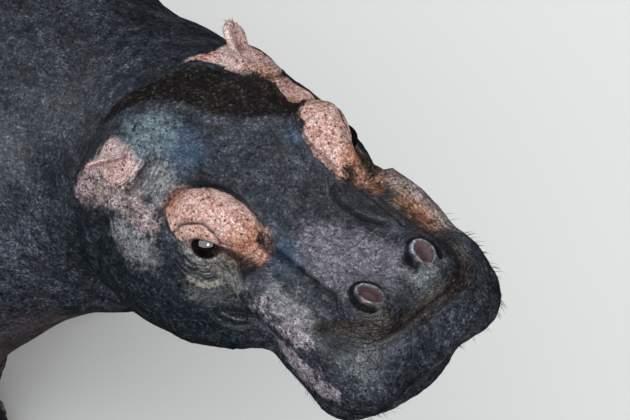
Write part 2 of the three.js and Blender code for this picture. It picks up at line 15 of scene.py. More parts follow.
import bpy
import numpy as np
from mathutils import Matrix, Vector

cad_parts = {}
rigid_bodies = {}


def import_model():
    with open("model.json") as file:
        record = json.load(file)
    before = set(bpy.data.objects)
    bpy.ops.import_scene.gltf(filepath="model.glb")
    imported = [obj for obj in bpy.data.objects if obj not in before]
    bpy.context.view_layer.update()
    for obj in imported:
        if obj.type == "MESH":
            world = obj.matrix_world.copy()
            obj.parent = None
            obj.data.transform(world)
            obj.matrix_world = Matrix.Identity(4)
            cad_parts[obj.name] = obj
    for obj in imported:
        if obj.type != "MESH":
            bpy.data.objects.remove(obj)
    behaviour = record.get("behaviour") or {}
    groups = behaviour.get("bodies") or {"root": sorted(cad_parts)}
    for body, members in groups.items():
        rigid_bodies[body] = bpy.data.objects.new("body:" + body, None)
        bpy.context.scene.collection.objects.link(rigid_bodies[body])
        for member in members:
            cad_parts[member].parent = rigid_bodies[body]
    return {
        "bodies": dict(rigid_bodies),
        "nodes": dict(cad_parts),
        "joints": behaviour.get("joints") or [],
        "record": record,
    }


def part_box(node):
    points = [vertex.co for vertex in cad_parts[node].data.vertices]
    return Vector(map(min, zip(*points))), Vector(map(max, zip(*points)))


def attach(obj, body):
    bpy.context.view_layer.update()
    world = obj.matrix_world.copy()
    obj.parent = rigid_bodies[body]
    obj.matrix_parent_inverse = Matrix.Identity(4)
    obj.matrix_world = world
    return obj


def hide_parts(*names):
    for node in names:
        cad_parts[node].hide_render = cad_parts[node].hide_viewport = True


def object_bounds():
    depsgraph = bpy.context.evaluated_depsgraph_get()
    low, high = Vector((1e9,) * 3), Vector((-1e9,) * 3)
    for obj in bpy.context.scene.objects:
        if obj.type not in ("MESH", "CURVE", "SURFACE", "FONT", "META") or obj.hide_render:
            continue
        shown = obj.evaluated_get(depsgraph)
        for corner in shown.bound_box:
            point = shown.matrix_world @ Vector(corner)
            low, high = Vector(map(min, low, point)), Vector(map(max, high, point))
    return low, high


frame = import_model()
CAD_BOX = [list(corner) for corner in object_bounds()]

Array = np.ndarray
Place = tuple[float, float, float]
Thing = bpy.types.Object
Mesh = bpy.types.Mesh
Material = bpy.types.Material
Tree = bpy.types.NodeTree
Socket = bpy.types.NodeSocket

LOG = logging.getLogger("hippopotamus")
MM = 0.001  # in metres
METRE = 1000.0  # in millimetres
FACING_LEFT, FACING_RIGHT = 1, -1
SIDE_NAMES = {FACING_LEFT: "left", FACING_RIGHT: "right"}
FEET = ("front_left", "front_right", "hind_left", "hind_right")
LIMBS = tuple(f"{part}_{foot}" for part in ("leg", "foot") for foot in FEET)
FLESH = ("head", "jaw", "neck", "trunk", "tail", *LIMBS)
NAILS = tuple(f"nail_{foot}_{toe}" for foot in FEET for toe in (1, 2, 3, 4))
MERGED = 0.00002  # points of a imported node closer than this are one, in metres


# ---------------------------------------------------------------- small helpers


def linear(colour: str) -> tuple[float, float, float, float]:
    """Turns an sRGB hex colour to linear light.

    Args:
        colour: Six hex digits after a hash sign.

    Returns:
        Red, green, blue and a full alpha.
    """
    parts = [int(colour[i : i + 2], 16) / 255 for i in (1, 3, 5)]
    light = [c / 12.92 if c <= 0.04045 else ((c + 0.055) / 1.055) ** 2.4 for c in parts]
    return (*light, 1.0)


def unit(vector: Sequence[float]) -> Array:
    """Scales a vector to length one."""
    made = np.asarray(vector, float)
    return made / np.linalg.norm(made)


def ramp(values: Array, low: float, high: float) -> Array:
    """Rises smoothly from 0 at low to 1 at high, or falls where low is the larger."""
    share = np.clip((values - low) / (high - low), 0, 1)
    return share * share * (3 - 2 * share)


def bell(values: Array, width: float) -> Array:
    """A round hump of height one about zero."""
    return np.exp(-((values / width) ** 2))


def smaller(a: Array, b: Array, width: float | Array) -> Array:
    """The smaller of two distances, blended over a band of the given width."""
    share = np.maximum(width - np.abs(a - b), 0) / width
    return np.minimum(a, b) - share * share * width / 4


def larger(a: Array, b: Array, width: float | Array) -> Array:
    """The larger of two distances, blended over a band of the given width."""
    return -smaller(-a, -b, width)


def waves(points: Array, length: float, seed: int, count: int = 14) -> Array:
    """A soft random field made of plane waves.

    Args:
        points: Places, one row each.
        length: The waves' length, in the unit of the places.
        seed: Picks the field.
        count: How many waves are summed.

    Returns:
        One value for each place, mostly between -1 and 1.
    """
    draw = np.random.default_rng(seed)
    ways = draw.normal(size=(count, 3))
    ways /= np.linalg.norm(ways, axis=1)[:, None]
    rates = 2 * math.pi / (length * draw.uniform(0.7, 1.4, count))
    turns = draw.uniform(0, 2 * math.pi, count)
    phases = points @ (ways * rates[:, None]).T + turns
    return np.sin(phases).sum(axis=1) / math.sqrt(count)


class Profile:
    """A smooth curve through a few knots, level beyond its ends."""

    def __init__(self, *knots: tuple[float, float]) -> None:
        """Keeps the knots and the slope at each."""
        self.places = np.array([k[0] for k in knots], float)
        self.values = np.array([k[1] for k in knots], float)
        before = np.maximum(np.arange(len(knots)) - 1, 0)
        after = np.minimum(np.arange(len(knots)) + 1, len(knots) - 1)
        rise = self.values[after] - self.values[before]
        self.slopes = rise / (self.places[after] - self.places[before])

    def __call__(self, x: Array) -> Array:
        """Reads the curve at each place."""
        x = np.clip(x, self.places[0], self.places[-1])
        i = np.clip(np.searchsorted(self.places, x, side="right") - 1, 0, len(self.places) - 2)
        span = self.places[i + 1] - self.places[i]
        t = (x - self.places[i]) / span
        rise = self.values[i + 1] - self.values[i]
        p = self.slopes[i] * span - rise
        q = rise - self.slopes[i + 1] * span
        return self.values[i] + rise * t + t * (1 - t) * (p * (1 - t) + q * t)


@dataclass(frozen=True)
class Ellipsoid:
    """A rounded mass, turned about the vertical by an angle in radians."""

    centre: Place
    radii: Place
    turn: float = 0.0

    def distance(self, points: Array) -> Array:
        """Signed distance from its surface, negative inside."""
        cos, sin = math.cos(self.turn), math.sin(self.turn)
        dx, dy = points[:, 0] - self.centre[0], points[:, 1] - self.centre[1]
        along = (dx * cos + dy * sin) / self.radii[0]
        across = (dy * cos - dx * sin) / self.radii[1]
        up = (points[:, 2] - self.centre[2]) / self.radii[2]
        reach = np.sqrt(along**2 + across**2 + up**2)
        slope = np.sqrt(sum((way / radius) ** 2 for way, radius in zip((along, across, up), self.radii)))
        return reach * (reach - 1) / np.maximum(slope, 1e-9)


def limb(points: Array, start: Sequence[float], end: Sequence[float], radii: tuple[float, float]) -> Array:
    """Signed distance from a round limb whose radius changes evenly from one end to the other."""
    start, axis = np.array(start, float), np.subtract(end, start)
    offset = points - start
    t = np.clip(offset @ axis / (axis @ axis), 0, 1)
    return np.linalg.norm(offset - t[:, None] * axis, axis=1) - (radii[0] + (radii[1] - radii[0]) * t)


def box_of(node: str, scale: float = 1.0) -> tuple[Array, Array]:
    """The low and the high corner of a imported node's box, divided by the scale."""
    low, high = (np.array(corner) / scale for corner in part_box(node))
    return low, high


def middle_of(node: str) -> Array:
    """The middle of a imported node's box, in metres."""
    return np.mean(box_of(node), axis=0)


# ---------------------------------------------------------------- the head's frame and form


@dataclass(frozen=True)
class HeadFrame:
    """Where the head stands: its origin in metres, and its forward, left and up directions as rows."""

    origin: Array
    axes: Array

    @classmethod
    def between_eyes(cls) -> "HeadFrame":
        """Finds the frame from the two packed eyeballs."""
        left, right = (middle_of(f"eye_{side}") for side in ("left", "right"))
        across = unit(left - right)
        forward = np.array([across[1], -across[0], 0.0])
        up = np.array([0.0, 0.0, 1.0])
        ahead, _, above = (value * MM for value in EyeSocket.centre)
        return cls((left + right) / 2 - forward * ahead - up * above, np.stack([forward, across, up]))

    def inwards(self, points: Array) -> Array:
        """Turns places in the model, in metres, to the head's millimetres."""
        return (points - self.origin) @ self.axes.T / MM

    def outwards(self, points: Array) -> Array:
        """Turns the head's millimetres to places in the model, in metres."""
        return points @ self.axes * MM + self.origin


class HeadForm:
    """The head's form without ears and eyes, as a distance field in the head's frame."""

    skin_depth = 1.0  # how far the skin lies inside the solids
    tip = 262.0  # the upper lip's front
    mouth_corner = 26.0
    top = Profile(
        *((-200, -8), (-150, 16), (-90, 27), (-30, 29), (30, 24)),
        *((80, 18), (130, 20), (180, 25), (225, 14), (262, -10)),
    )
    bottom = Profile((-200, -150), (-80, -140), (20, -104), (90, -86), (160, -94), (220, -94), (262, -88))
    half = Profile(
        *((-200, 112), (-120, 116), (-60, 108), (0, 94), (50, 88)),
        *((95, 92), (140, 99), (185, 102), (225, 97), (262, 84)),
    )
    jaw_bottom = Profile(
        (-200, -196), (-80, -192), (20, -172), (90, -156), (150, -160), (200, -168), (240, -158)
    )
    jaw_half = Profile((-200, 112), (-80, 126), (20, 100), (90, 90), (150, 96), (195, 98), (240, 84))
    mouth = Profile((20, -62), (60, -74), (110, -92), (160, -98), (210, -96), (270, -90))
    lip = Ellipsoid((178, 74, -48), (78, 44, 48))
    nostril_mound = Ellipsoid((188, 40, 12), (36, 28, 30))
    nasal_ridge = Ellipsoid((120, 22, -16), (110, 40, 40))
    upper_cheek = Ellipsoid((98, 90, -12), (70, 27, 22))
    furrow = Ellipsoid((122, 81, 33), (80, 13, 22), 0.1)
    brow = Ellipsoid((2, 78, 4), (56, 36, 43), -0.28)
    temple = Ellipsoid((-70, 112, 18), (34, 22, 26))
    cheek = Ellipsoid((-52, 88, -98), (110, 62, 88))
    ear_root = Ellipsoid((-126, 82, -2), (38, 30, 28))
    under_eye = Ellipsoid((4, 86, -28), (48, 27, 22))
    eye_corner = (38.0, 92.0, 2.0)  # here the brow runs softly into the cheek
    neck = ((-130, 0, -100), (-229, 7, -194), (112, 156))

    @staticmethod
    def section(side: Array, z: Array, top: Array, bottom: Array, half: Array, square: float) -> Array:
        """Distance from a rounded-box section that changes along the head.

        Args:
            side: How far each place lies from the head's middle plane.
            z: Its height.
            top: The section's top there.
            bottom: Its bottom there.
            half: Its half width there.
            square: 2 gives an oval, more gives squarer corners.

        Returns:
            The signed distance at each place.
        """
        tall = (top - bottom) / 2
        reach = ((side / half) ** square + (np.abs(z - bottom - tall) / tall) ** square) ** (1 / square)
        return (reach - 1) * np.minimum(half, tall)

    def distance(self, points: Array) -> Array:
        """Measures places against the head's form.

        Args:
            points: Places in the head's frame.

        Returns:
            The signed distance of each, negative inside.
        """
        x, z = points[:, 0], points[:, 2]
        side = np.abs(points[:, 1])
        folded = np.stack([x, side, z], axis=1)
        d = larger(self.section(side, z, self.top(x), self.bottom(x), self.half(x), 2.8), x - self.tip, 62)
        d = smaller(d, self.lip.distance(folded), 24)
        d = smaller(d, self.nasal_ridge.distance(folded), 30)
        d = smaller(d, self.upper_cheek.distance(folded), 18)
        d = larger(d, -self.furrow.distance(folded), 24)
        d = smaller(d, self.nostril_mound.distance(folded), 14)
        d = larger(d, -self.temple.distance(folded), 24)
        d = smaller(d, self.under_eye.distance(folded), 14)
        corner = np.linalg.norm(folded - np.array(self.eye_corner), axis=1)
        d = smaller(d, self.brow.distance(folded), 9 + 18 * bell(corner, 20))
        d = smaller(d, self.ear_root.distance(folded), 18)
        jaw = self.section(side, z, np.full_like(x, -70.0), self.jaw_bottom(x), self.jaw_half(x), 2.5)
        jaw = larger(jaw, x - self.tip + 18, 70)
        jaw = smaller(jaw, self.cheek.distance(folded), 46)
        soft = 10 + np.clip((self.mouth_corner - x) * 0.5, 0, 30)
        d = smaller(d, jaw, soft)
        return smaller(limb(points, *self.neck), d, np.clip(60 - (x + 100) * 0.9, 6, 60))

    def slope(self, points: Array) -> Array:
        """The field's slope at each place, by central differences."""
        step = 0.8
        sides = []
        for axis in range(3):
            shift = np.zeros(3)
            shift[axis] = step
            sides.append((self.distance(points + shift) - self.distance(points - shift)) / (2 * step))
        return np.stack(sides, axis=1)

    def settle(self, points: Array, rounds: int = 2) -> Array:
        """Moves places along the slope onto the skin's surface."""
        for _ in range(rounds):
            slope = self.slope(points)
            step = (self.distance(points) + self.skin_depth) / np.maximum((slope**2).sum(axis=1), 0.2)
            points = points - slope * np.clip(step, -9, 9)[:, None]
        return points


# ---------------------------------------------------------------- folds of the head


class Sides(Enum):
    """Which side of the head a fold or a marking lies on."""

    BOTH = "both"
    LEFT = "left"
    RIGHT = "right"

    def fold(self, points: Array) -> Array:
        """Mirrors places so that the wanted side has positive y."""
        made = points.copy()
        if self is Sides.BOTH:
            made[:, 1] = np.abs(made[:, 1])
        elif self is Sides.RIGHT:
            made[:, 1] = -made[:, 1]
        return made


BOTH, LEFT, RIGHT = Sides


@dataclass(frozen=True)
class Line:
    """A smooth line over the head through a few places, given for the left side."""

    places: tuple[Place, ...]
    sides: Sides = BOTH

    def samples(self, form: HeadForm, per_span: int = 7) -> Array:
        """Points along the line, laid on the skin."""
        knots = np.array(self.places, float)
        steps = np.linspace(0, len(knots) - 1, (len(knots) - 1) * per_span + 1)
        curves = [Profile(*enumerate(knots[:, axis]))(steps) for axis in range(3)]
        return form.settle(np.stack(curves, axis=1), 4)

    def measure(self, form: HeadForm, points: Array, reach: float) -> tuple[Array, Array, Array]:
        """Measures places against the line.

        Args:
            form: The head's form.
            points: Places in the head's frame.
            reach: Places further than this from the line are skipped.

        Returns:
            The indices of the near places, their distances from the line, and how far along it they lie, 0
            to 1.
        """
        folded = self.sides.fold(points)
        line = self.samples(form)
        low, high = line.min(axis=0) - reach, line.max(axis=0) + reach
        near = np.nonzero(((folded > low) & (folded < high)).all(axis=1))[0]
        best = np.full(len(near), 1e9)
        along = np.zeros(len(near))
        for i in range(len(line) - 1):
            way = line[i + 1] - line[i]
            offset = folded[near] - line[i]
            t = np.clip(offset @ way / (way @ way), 0, 1)
            away = np.linalg.norm(offset - t[:, None] * way, axis=1)
            closer = away < best
            best[closer] = away[closer]
            along[closer] = (i + t[closer]) / (len(line) - 1)
        return near, best, along


@dataclass(frozen=True)
class Crease:
    """A groove pressed into the skin along a line, with the skin swelling a little beside it and painted
    shade along its floor.
    """

    line: Line
    width: float
    depth: float
    swell: float = 0.35
    # how dark the painted shade along the groove's floor is, 0 to 1
    groove_shade: float = 0.8
    taper: float = 0.18

    def press(self, form: HeadForm, points: Array, lift: Array, groove_shade: Array) -> None:
        """Adds the groove to the lift of each place, and its painted shade to the shade of each place.

        Args:
            form: The head's form.
            points: Places in the head's frame.
            lift: How far each moves out, in millimetres.
            groove_shade: The painted shade at each.
        """
        near, away, along = self.line.measure(form, points, self.width * 4)
        ends = ramp(along, 0, self.taper) * ramp(along, 1, 1 - self.taper)
        groove = bell(away, self.width)
        shoulder = bell(away - 2.1 * self.width, 0.9 * self.width)
        lift[near] += self.depth * ends * (self.swell * shoulder - groove)
        # painted shade: darkens the floor of the groove
        groove_shade[near] = np.maximum(groove_shade[near], self.groove_shade * ends * bell(away, 0.8 * self.width))


BROW_RIM = Line(
    ((-62, 104, 2), (-52, 90, 16), (-38, 70, 31), (-20, 58, 33))
    + ((0, 51, 32), (20, 48, 31), (40, 50, 27), (54, 57, 20))
)
BROW_BACK = Line(((-52, 108, 4), (-46, 113, -1), (-31, 116, -4), (-14, 117, -8), (-4, 116, -14)))
LOWER_FOLDS = (
    Line(((-10, 121, -16), (4, 121, -24), (18, 115, -25), (33, 104, -16), (46, 90, 1), (57, 74, 14))),
    Line(((-15, 121, -22), (2, 121, -31), (19, 114, -32), (36, 102, -23), (50, 87, -6), (61, 71, 10))),
    Line(((-18, 121, -29), (2, 119, -39), (20, 111, -41), (38, 99, -31), (54, 84, -14), (66, 66, 7))),
)
CHEEK_GROOVE = Line(
    ((58, 66, 13), (70, 60, 13), (84, 59, 12), (107, 59, 14), (133, 58, 17), (154, 60, 21), (170, 64, 20)),
    RIGHT,
)
FAR_CHEEK_GROOVE = Line(CHEEK_GROOVE.places, LEFT)
SNOUT_GROOVE = Line(
    ((46, 46, 23), (58, 34, 25), (68, 27, 25), (86, 25, 26), (105, 28, 27), (124, 37, 27), (138, 48, 24)),
    LEFT,
)
SEPTUM_FOLD = Line(((172, 25, 30), (180, 22, 30), (189, 24, 29), (196, 29, 28)), LEFT)
JOWL = Line(((-104, 128, -28), (-114, 134, -66), (-108, 134, -112), (-84, 122, -156), (-50, 96, -184)))
JOWL_BEHIND = Line(((-134, 124, -20), (-150, 130, -70), (-146, 132, -122), (-124, 122, -172)))
MOUTH_CORNER = Line(((34, 116, -70), (44, 116, -78), (58, 104, -86), (74, 92, -84)))
EAR_FRONT = Line(((-108, 64, 28), (-98, 80, 24), (-94, 96, 15), (-98, 112, 0), (-108, 118, -16)))
LIP_EDGE = Line(((222, 62, 10), (230, 40, 14), (231, 14, 14), (229, -12, 14), (226, -34, 14), (214, -62, 8)))
# The head's creases, each with the strength of the painted shade along its floor.
HEAD_CREASES = (
    Crease(BROW_RIM, 2.6, 2.6, groove_shade=0.75),
    Crease(BROW_BACK, 1.6, 1.0, groove_shade=0.1),
    Crease(LOWER_FOLDS[0], 1.5, 1.5, groove_shade=0.75),
    Crease(LOWER_FOLDS[1], 1.6, 1.6, groove_shade=0.7),
    Crease(LOWER_FOLDS[2], 1.9, 1.7, groove_shade=0.6),
    Crease(CHEEK_GROOVE, 3.4, 4.4, groove_shade=1.0),
    Crease(FAR_CHEEK_GROOVE, 3.0, 2.6, groove_shade=0.7),
    Crease(SNOUT_GROOVE, 3.6, 3.2, groove_shade=1.0),
    Crease(JOWL, 7.0, 4.5, groove_shade=0.35),
    Crease(JOWL_BEHIND, 8.0, 4.5, groove_shade=0.35),
    Crease(MOUTH_CORNER, 3.0, 3.0, groove_shade=0.7),
    Crease(EAR_FRONT, 3.0, 3.5, groove_shade=0.7),
    Crease(LIP_EDGE, 2.4, 1.6, groove_shade=0.3),
    Crease(SEPTUM_FOLD, 4.0, 4.0, groove_shade=1.0),
)


@dataclass(frozen=True)
class EyeSocket:
    """The eyeball's place and the lids about it, for the left eye. Lengths are measured round the ball."""

    centre: Place = (5.0, 96.0, -3.0)
    radius: float = 19.0
    gaze: Place = (0.506, 0.814, 0.286)
    ahead: float = 24.0  # from the gaze to the front corner of the opening
    behind: float = 19.5
    upper: float = 14.6
    lower: float = 15.0
    lid: float = 2.2  # the lids' thickness
    reach: float = 66.0

    def axes(self) -> Array:
        """Rows: towards the front corner, towards the upper lid, and out along the gaze."""
        out = unit(self.gaze)
        ahead = unit(np.array([1.0, 0, 0]) - out * out[0])
        return np.stack([ahead, np.cross(ahead, out), out])

    def measure(self, folded: Array) -> tuple[Array, Array, Array, Array]:
        """Measures places against the opening between the lids.

        Args:
            folded: Places on the head, turned to the left side.

        Returns:
            The places in the socket's axes, how far ahead and above the gaze they lie round the ball, and
            their distance outside the opening's edge.
        """
        local = (folded - np.array(self.centre)) @ self.axes().T
        return (local, *self.angles(local))

    def angles(self, local: Array) -> tuple[Array, Array, Array]:
        """How far ahead and above the gaze such places lie, and their distance outside the opening's edge."""
        length = np.maximum(np.linalg.norm(local, axis=1), 1e-6)
        u = self.radius * np.arctan2(local[:, 0], local[:, 2])
        v = self.radius * np.arcsin(np.clip(local[:, 1] / length, -1, 1))
        wide = np.where(u > 0, self.ahead, self.behind)
        tall = np.where(v > 0, self.upper, self.lower)
        reach = np.hypot(u / wide, v / tall)
        return u, v, np.hypot(u, v) * (1 - 1 / np.maximum(reach, 1e-3))

    @staticmethod
    def sink_corner(local: Array) -> Array:
        """Presses a trough ahead of the front corner, so that the skin does not stand over the ball."""
        ahead, up, out = local.T
        floor = 1 + 0.3 * ahead + 20 * ramp(ahead, 26, 58)
        floor = floor + 0.9 * np.maximum(up - 2, 0) + 0.5 * np.maximum(-up - 4, 0)
        made = local.copy()
        made[:, 2] += (smaller(out, floor, 5.0) - out) * ramp(ahead, 10, 16)
        return made

    def crease(self, u: Array) -> Array:
        """Distance of the upper lid's crease from the lid's edge: it closes in on the front corner."""
        return 9.6 - 3.0 * ramp(u, -16, 6) - 3.8 * ramp(u, 5, 20)

    def shape(self, points: Array, groove_shade: Array) -> Array:
        """Wraps the skin round the eyeball as two thick lids with an opening between them.

        Args:
            points: The skin's places in the head's frame.
            groove_shade: The painted shade at each, which gains the lids' margins and crease.

        Returns:
            The moved places.
        """
        folded = BOTH.fold(points)
        near = np.nonzero(np.linalg.norm(folded - np.array(self.centre), axis=1) < self.reach)[0]
        local = (folded[near] - np.array(self.centre)) @ self.axes().T
        local = self.sink_corner(local)
        u, v, outside = self.angles(local)
        length = np.linalg.norm(local, axis=1)
        share_kept = ramp(local[:, 0], 19, 25) * ramp(np.abs(local[:, 1]), 16, 9)
        share_kept = np.maximum(np.maximum(share_kept, ramp(length, 44, 56)), ramp(local[:, 2], -12, -24))
        thick, sunk = self.radius + self.lid, self.radius - 3.4
        above = ramp(v, -3, 5)
        crease = self.crease(u)
        rise = np.clip((outside - 0.9) / np.maximum(crease, 3), 0, 1)
        roll = 1 - (1 - rise) ** 1.8
        slope = ramp(outside, 3.5, 12)
        share = slope + (roll - slope) * above
        lids = sunk + (thick - sunk) * ramp(outside, -0.8, 0.8)
        natural = smaller(length, thick + 2 + 1.7 * np.maximum(outside, 0), 4)
        wanted = lids * (1 - share) + np.maximum(natural, thick - 1) * share
        grown = length / self.radius
        wanted -= 2.2 * grown * bell(outside - crease, 0.85) * above
        wanted += 0.9 * bell(outside - crease - 2.4, 1.4) * above
        wanted += 1.2 * bell(outside - 0.55 * crease, 0.3 * crease) * above
        # painted shade in the upper lid's crease, and along the lids' edge where they meet the ball
        dark = bell(outside - crease, 0.75) * above * ramp(u, 27, 18)
        margin = ramp(outside, 0.7, -0.4) * (0.25 + 0.7 * above)
        groove_shade[near] = np.maximum(groove_shade[near], np.maximum(0.9 * dark, margin))
        wanted += (length - wanted) * share_kept
        made = local * (wanted / np.maximum(length, 1e-6))[:, None]
        back = made @ self.axes() + np.array(self.centre)
        back[:, 1] *= np.sign(points[near, 1])
        moved = points.copy()
        moved[near] = back
        return moved


@dataclass(frozen=True)
class Nostril:
    """One nostril on top of the muzzle, for the left side: a pit with a raised rim in a shallow moat."""

    centre: tuple[float, float] = (188.0, 38.0)
    along: tuple[float, float] = (0.975, -0.22)
    half_length: float = 13.5
    half_width: float = 8.0
    pit: float = 15.0
    rim: float = 2.4
    moat: float = 3.6
    reach: float = 40.0
    lowest: float = 4.0  # skin below this height of the muzzle is none of its own

    def measure(self, folded: Array) -> tuple[Array, Array, Array]:
        """Places along and across the opening, and their distance outside its edge."""
        ahead, side = self.along
        dx, dy = folded[:, 0] - self.centre[0], folded[:, 1] - self.centre[1]
        u, v = dx * ahead + dy * side, dy * ahead - dx * side
        reach = np.hypot(u / self.half_length, v / self.half_width)
        return u, v, np.hypot(u, v) * (1 - 1 / np.maximum(reach, 1e-3))

    def shape(self, points: Array, groove_shade: Array, hollow: Array) -> Array:
        """Sinks the pit, raises its rim and presses the moat behind it.

        Args:
            points: The skin's places in the head's frame.
            groove_shade: The painted shade at each, which gains the moat.
            hollow: The damp hollows, which gain the pit.

        Returns:
            The moved places.
        """
        folded = BOTH.fold(points)
        away = np.hypot(folded[:, 0] - self.centre[0], folded[:, 1] - self.centre[1])
        near = np.nonzero((away < self.reach) & (folded[:, 2] > self.lowest))[0]
        u, v, outside = self.measure(folded[near])
        down = self.pit * ramp(outside, 0.6, -5.5)
        moat = bell(outside - 8.0, 2.8) * ramp(u - 0.4 * v, 15, 4)
        lift = self.rim * bell(outside - 2.4, 1.9) - self.moat * moat - down
        moved = points.copy()
        moved[near, 2] += lift
        moved[near, 0] -= 0.35 * down
        moved[near, 1] -= 0.22 * down * np.sign(points[near, 1])
        # painted shade in the moat behind the nostril
        groove_shade[near] = np.maximum(groove_shade[near], np.clip(moat * 2.2, 0, 1))
        hollow[near] = ramp(outside, 0.9, -1.6)
        return moved


# ---------------------------------------------------------------- markings of the hide, painted shade and painted sky sheen

EDGE_LIMIT = 40.0  # markings' distances are kept this far on each side
UNMARKED = 60.0  # the distance given to places far from a marking

@dataclass(frozen=True)
class Blot(Ellipsoid):
    """A rounded mass that marks the skin where the two meet."""

    sides: Sides = BOTH

    def edge(self, form: HeadForm, points: Array) -> Array:
        """Signed distance outside the blot, in millimetres."""
        return self.distance(self.sides.fold(points))


@dataclass(frozen=True)
class Stroke:
    """A band along a line."""

    line: Line
    half_width: Profile  # along the line, 0 to 1

    def edge(self, form: HeadForm, points: Array) -> Array:
        """Signed distance outside the band, in millimetres."""
        d = np.full(len(points), UNMARKED)
        near, away, along = self.line.measure(form, points, self.half_width.values.max() + EDGE_LIMIT + 5)
        d[near] = away - self.half_width(along)
        return d


CROWN_BAND = Stroke(
    Line(
        ((-190, -80, -14), (-188, -60, -4), (-180, -36, 9), (-166, -16, 20), (-146, 8, 28))
        + ((-120, 26, 31), (-94, 46, 29), (-72, 68, 24), (-48, 80, 26)),
        LEFT,
    ),
    Profile(
        (0, 5), (0.12, 11), (0.25, 14), (0.38, 17), (0.5, 24), (0.62, 30), (0.75, 32), (0.88, 26), (1, 13)
    ),
)
CROWN_EDGE = Stroke(
    Line(
        ((-176, 30, 12), (-158, 52, 20), (-135, 76, 20), (-112, 92, 16), (-90, 104, 2), (-68, 108, -6)),
        LEFT,
    ),
    Profile((0, 4), (0.2, 9), (0.4, 16), (0.6, 18), (0.8, 18), (1, 14)),
)
CHEEK_RIDGE = Stroke(
    Line(
        ((46, 88, 16), (65, 92, 8), (81, 97, 6), (103, 101, 4), (126, 102, 2), (149, 103, 0), (170, 104, -6)),
        LEFT,
    ),
    Profile((0, 9), (0.2, 13), (0.5, 15), (0.8, 13), (1, 8)),
)
MUZZLE_BAND = Line(
    ((67, 62, 13), (89, 73, 8), (116, 76, 7), (143, 75, 8), (172, 79, 10), (197, 78, 11), (214, 72, 9))
    + ((225, 53, 11), (227, 25, 15), (227, -4, 13), (218, -28, 14), (204, -52, 12), (188, -70, 6))
    + ((168, -84, -2),),
    LEFT,
)
BROW_SHADE = Line(
    ((-60, 76, 22), (-49, 66, 28), (-39, 58, 30), (-25, 51, 31), (-11, 46, 31), (5, 44, 31), (26, 46, 31)),
    RIGHT,
)
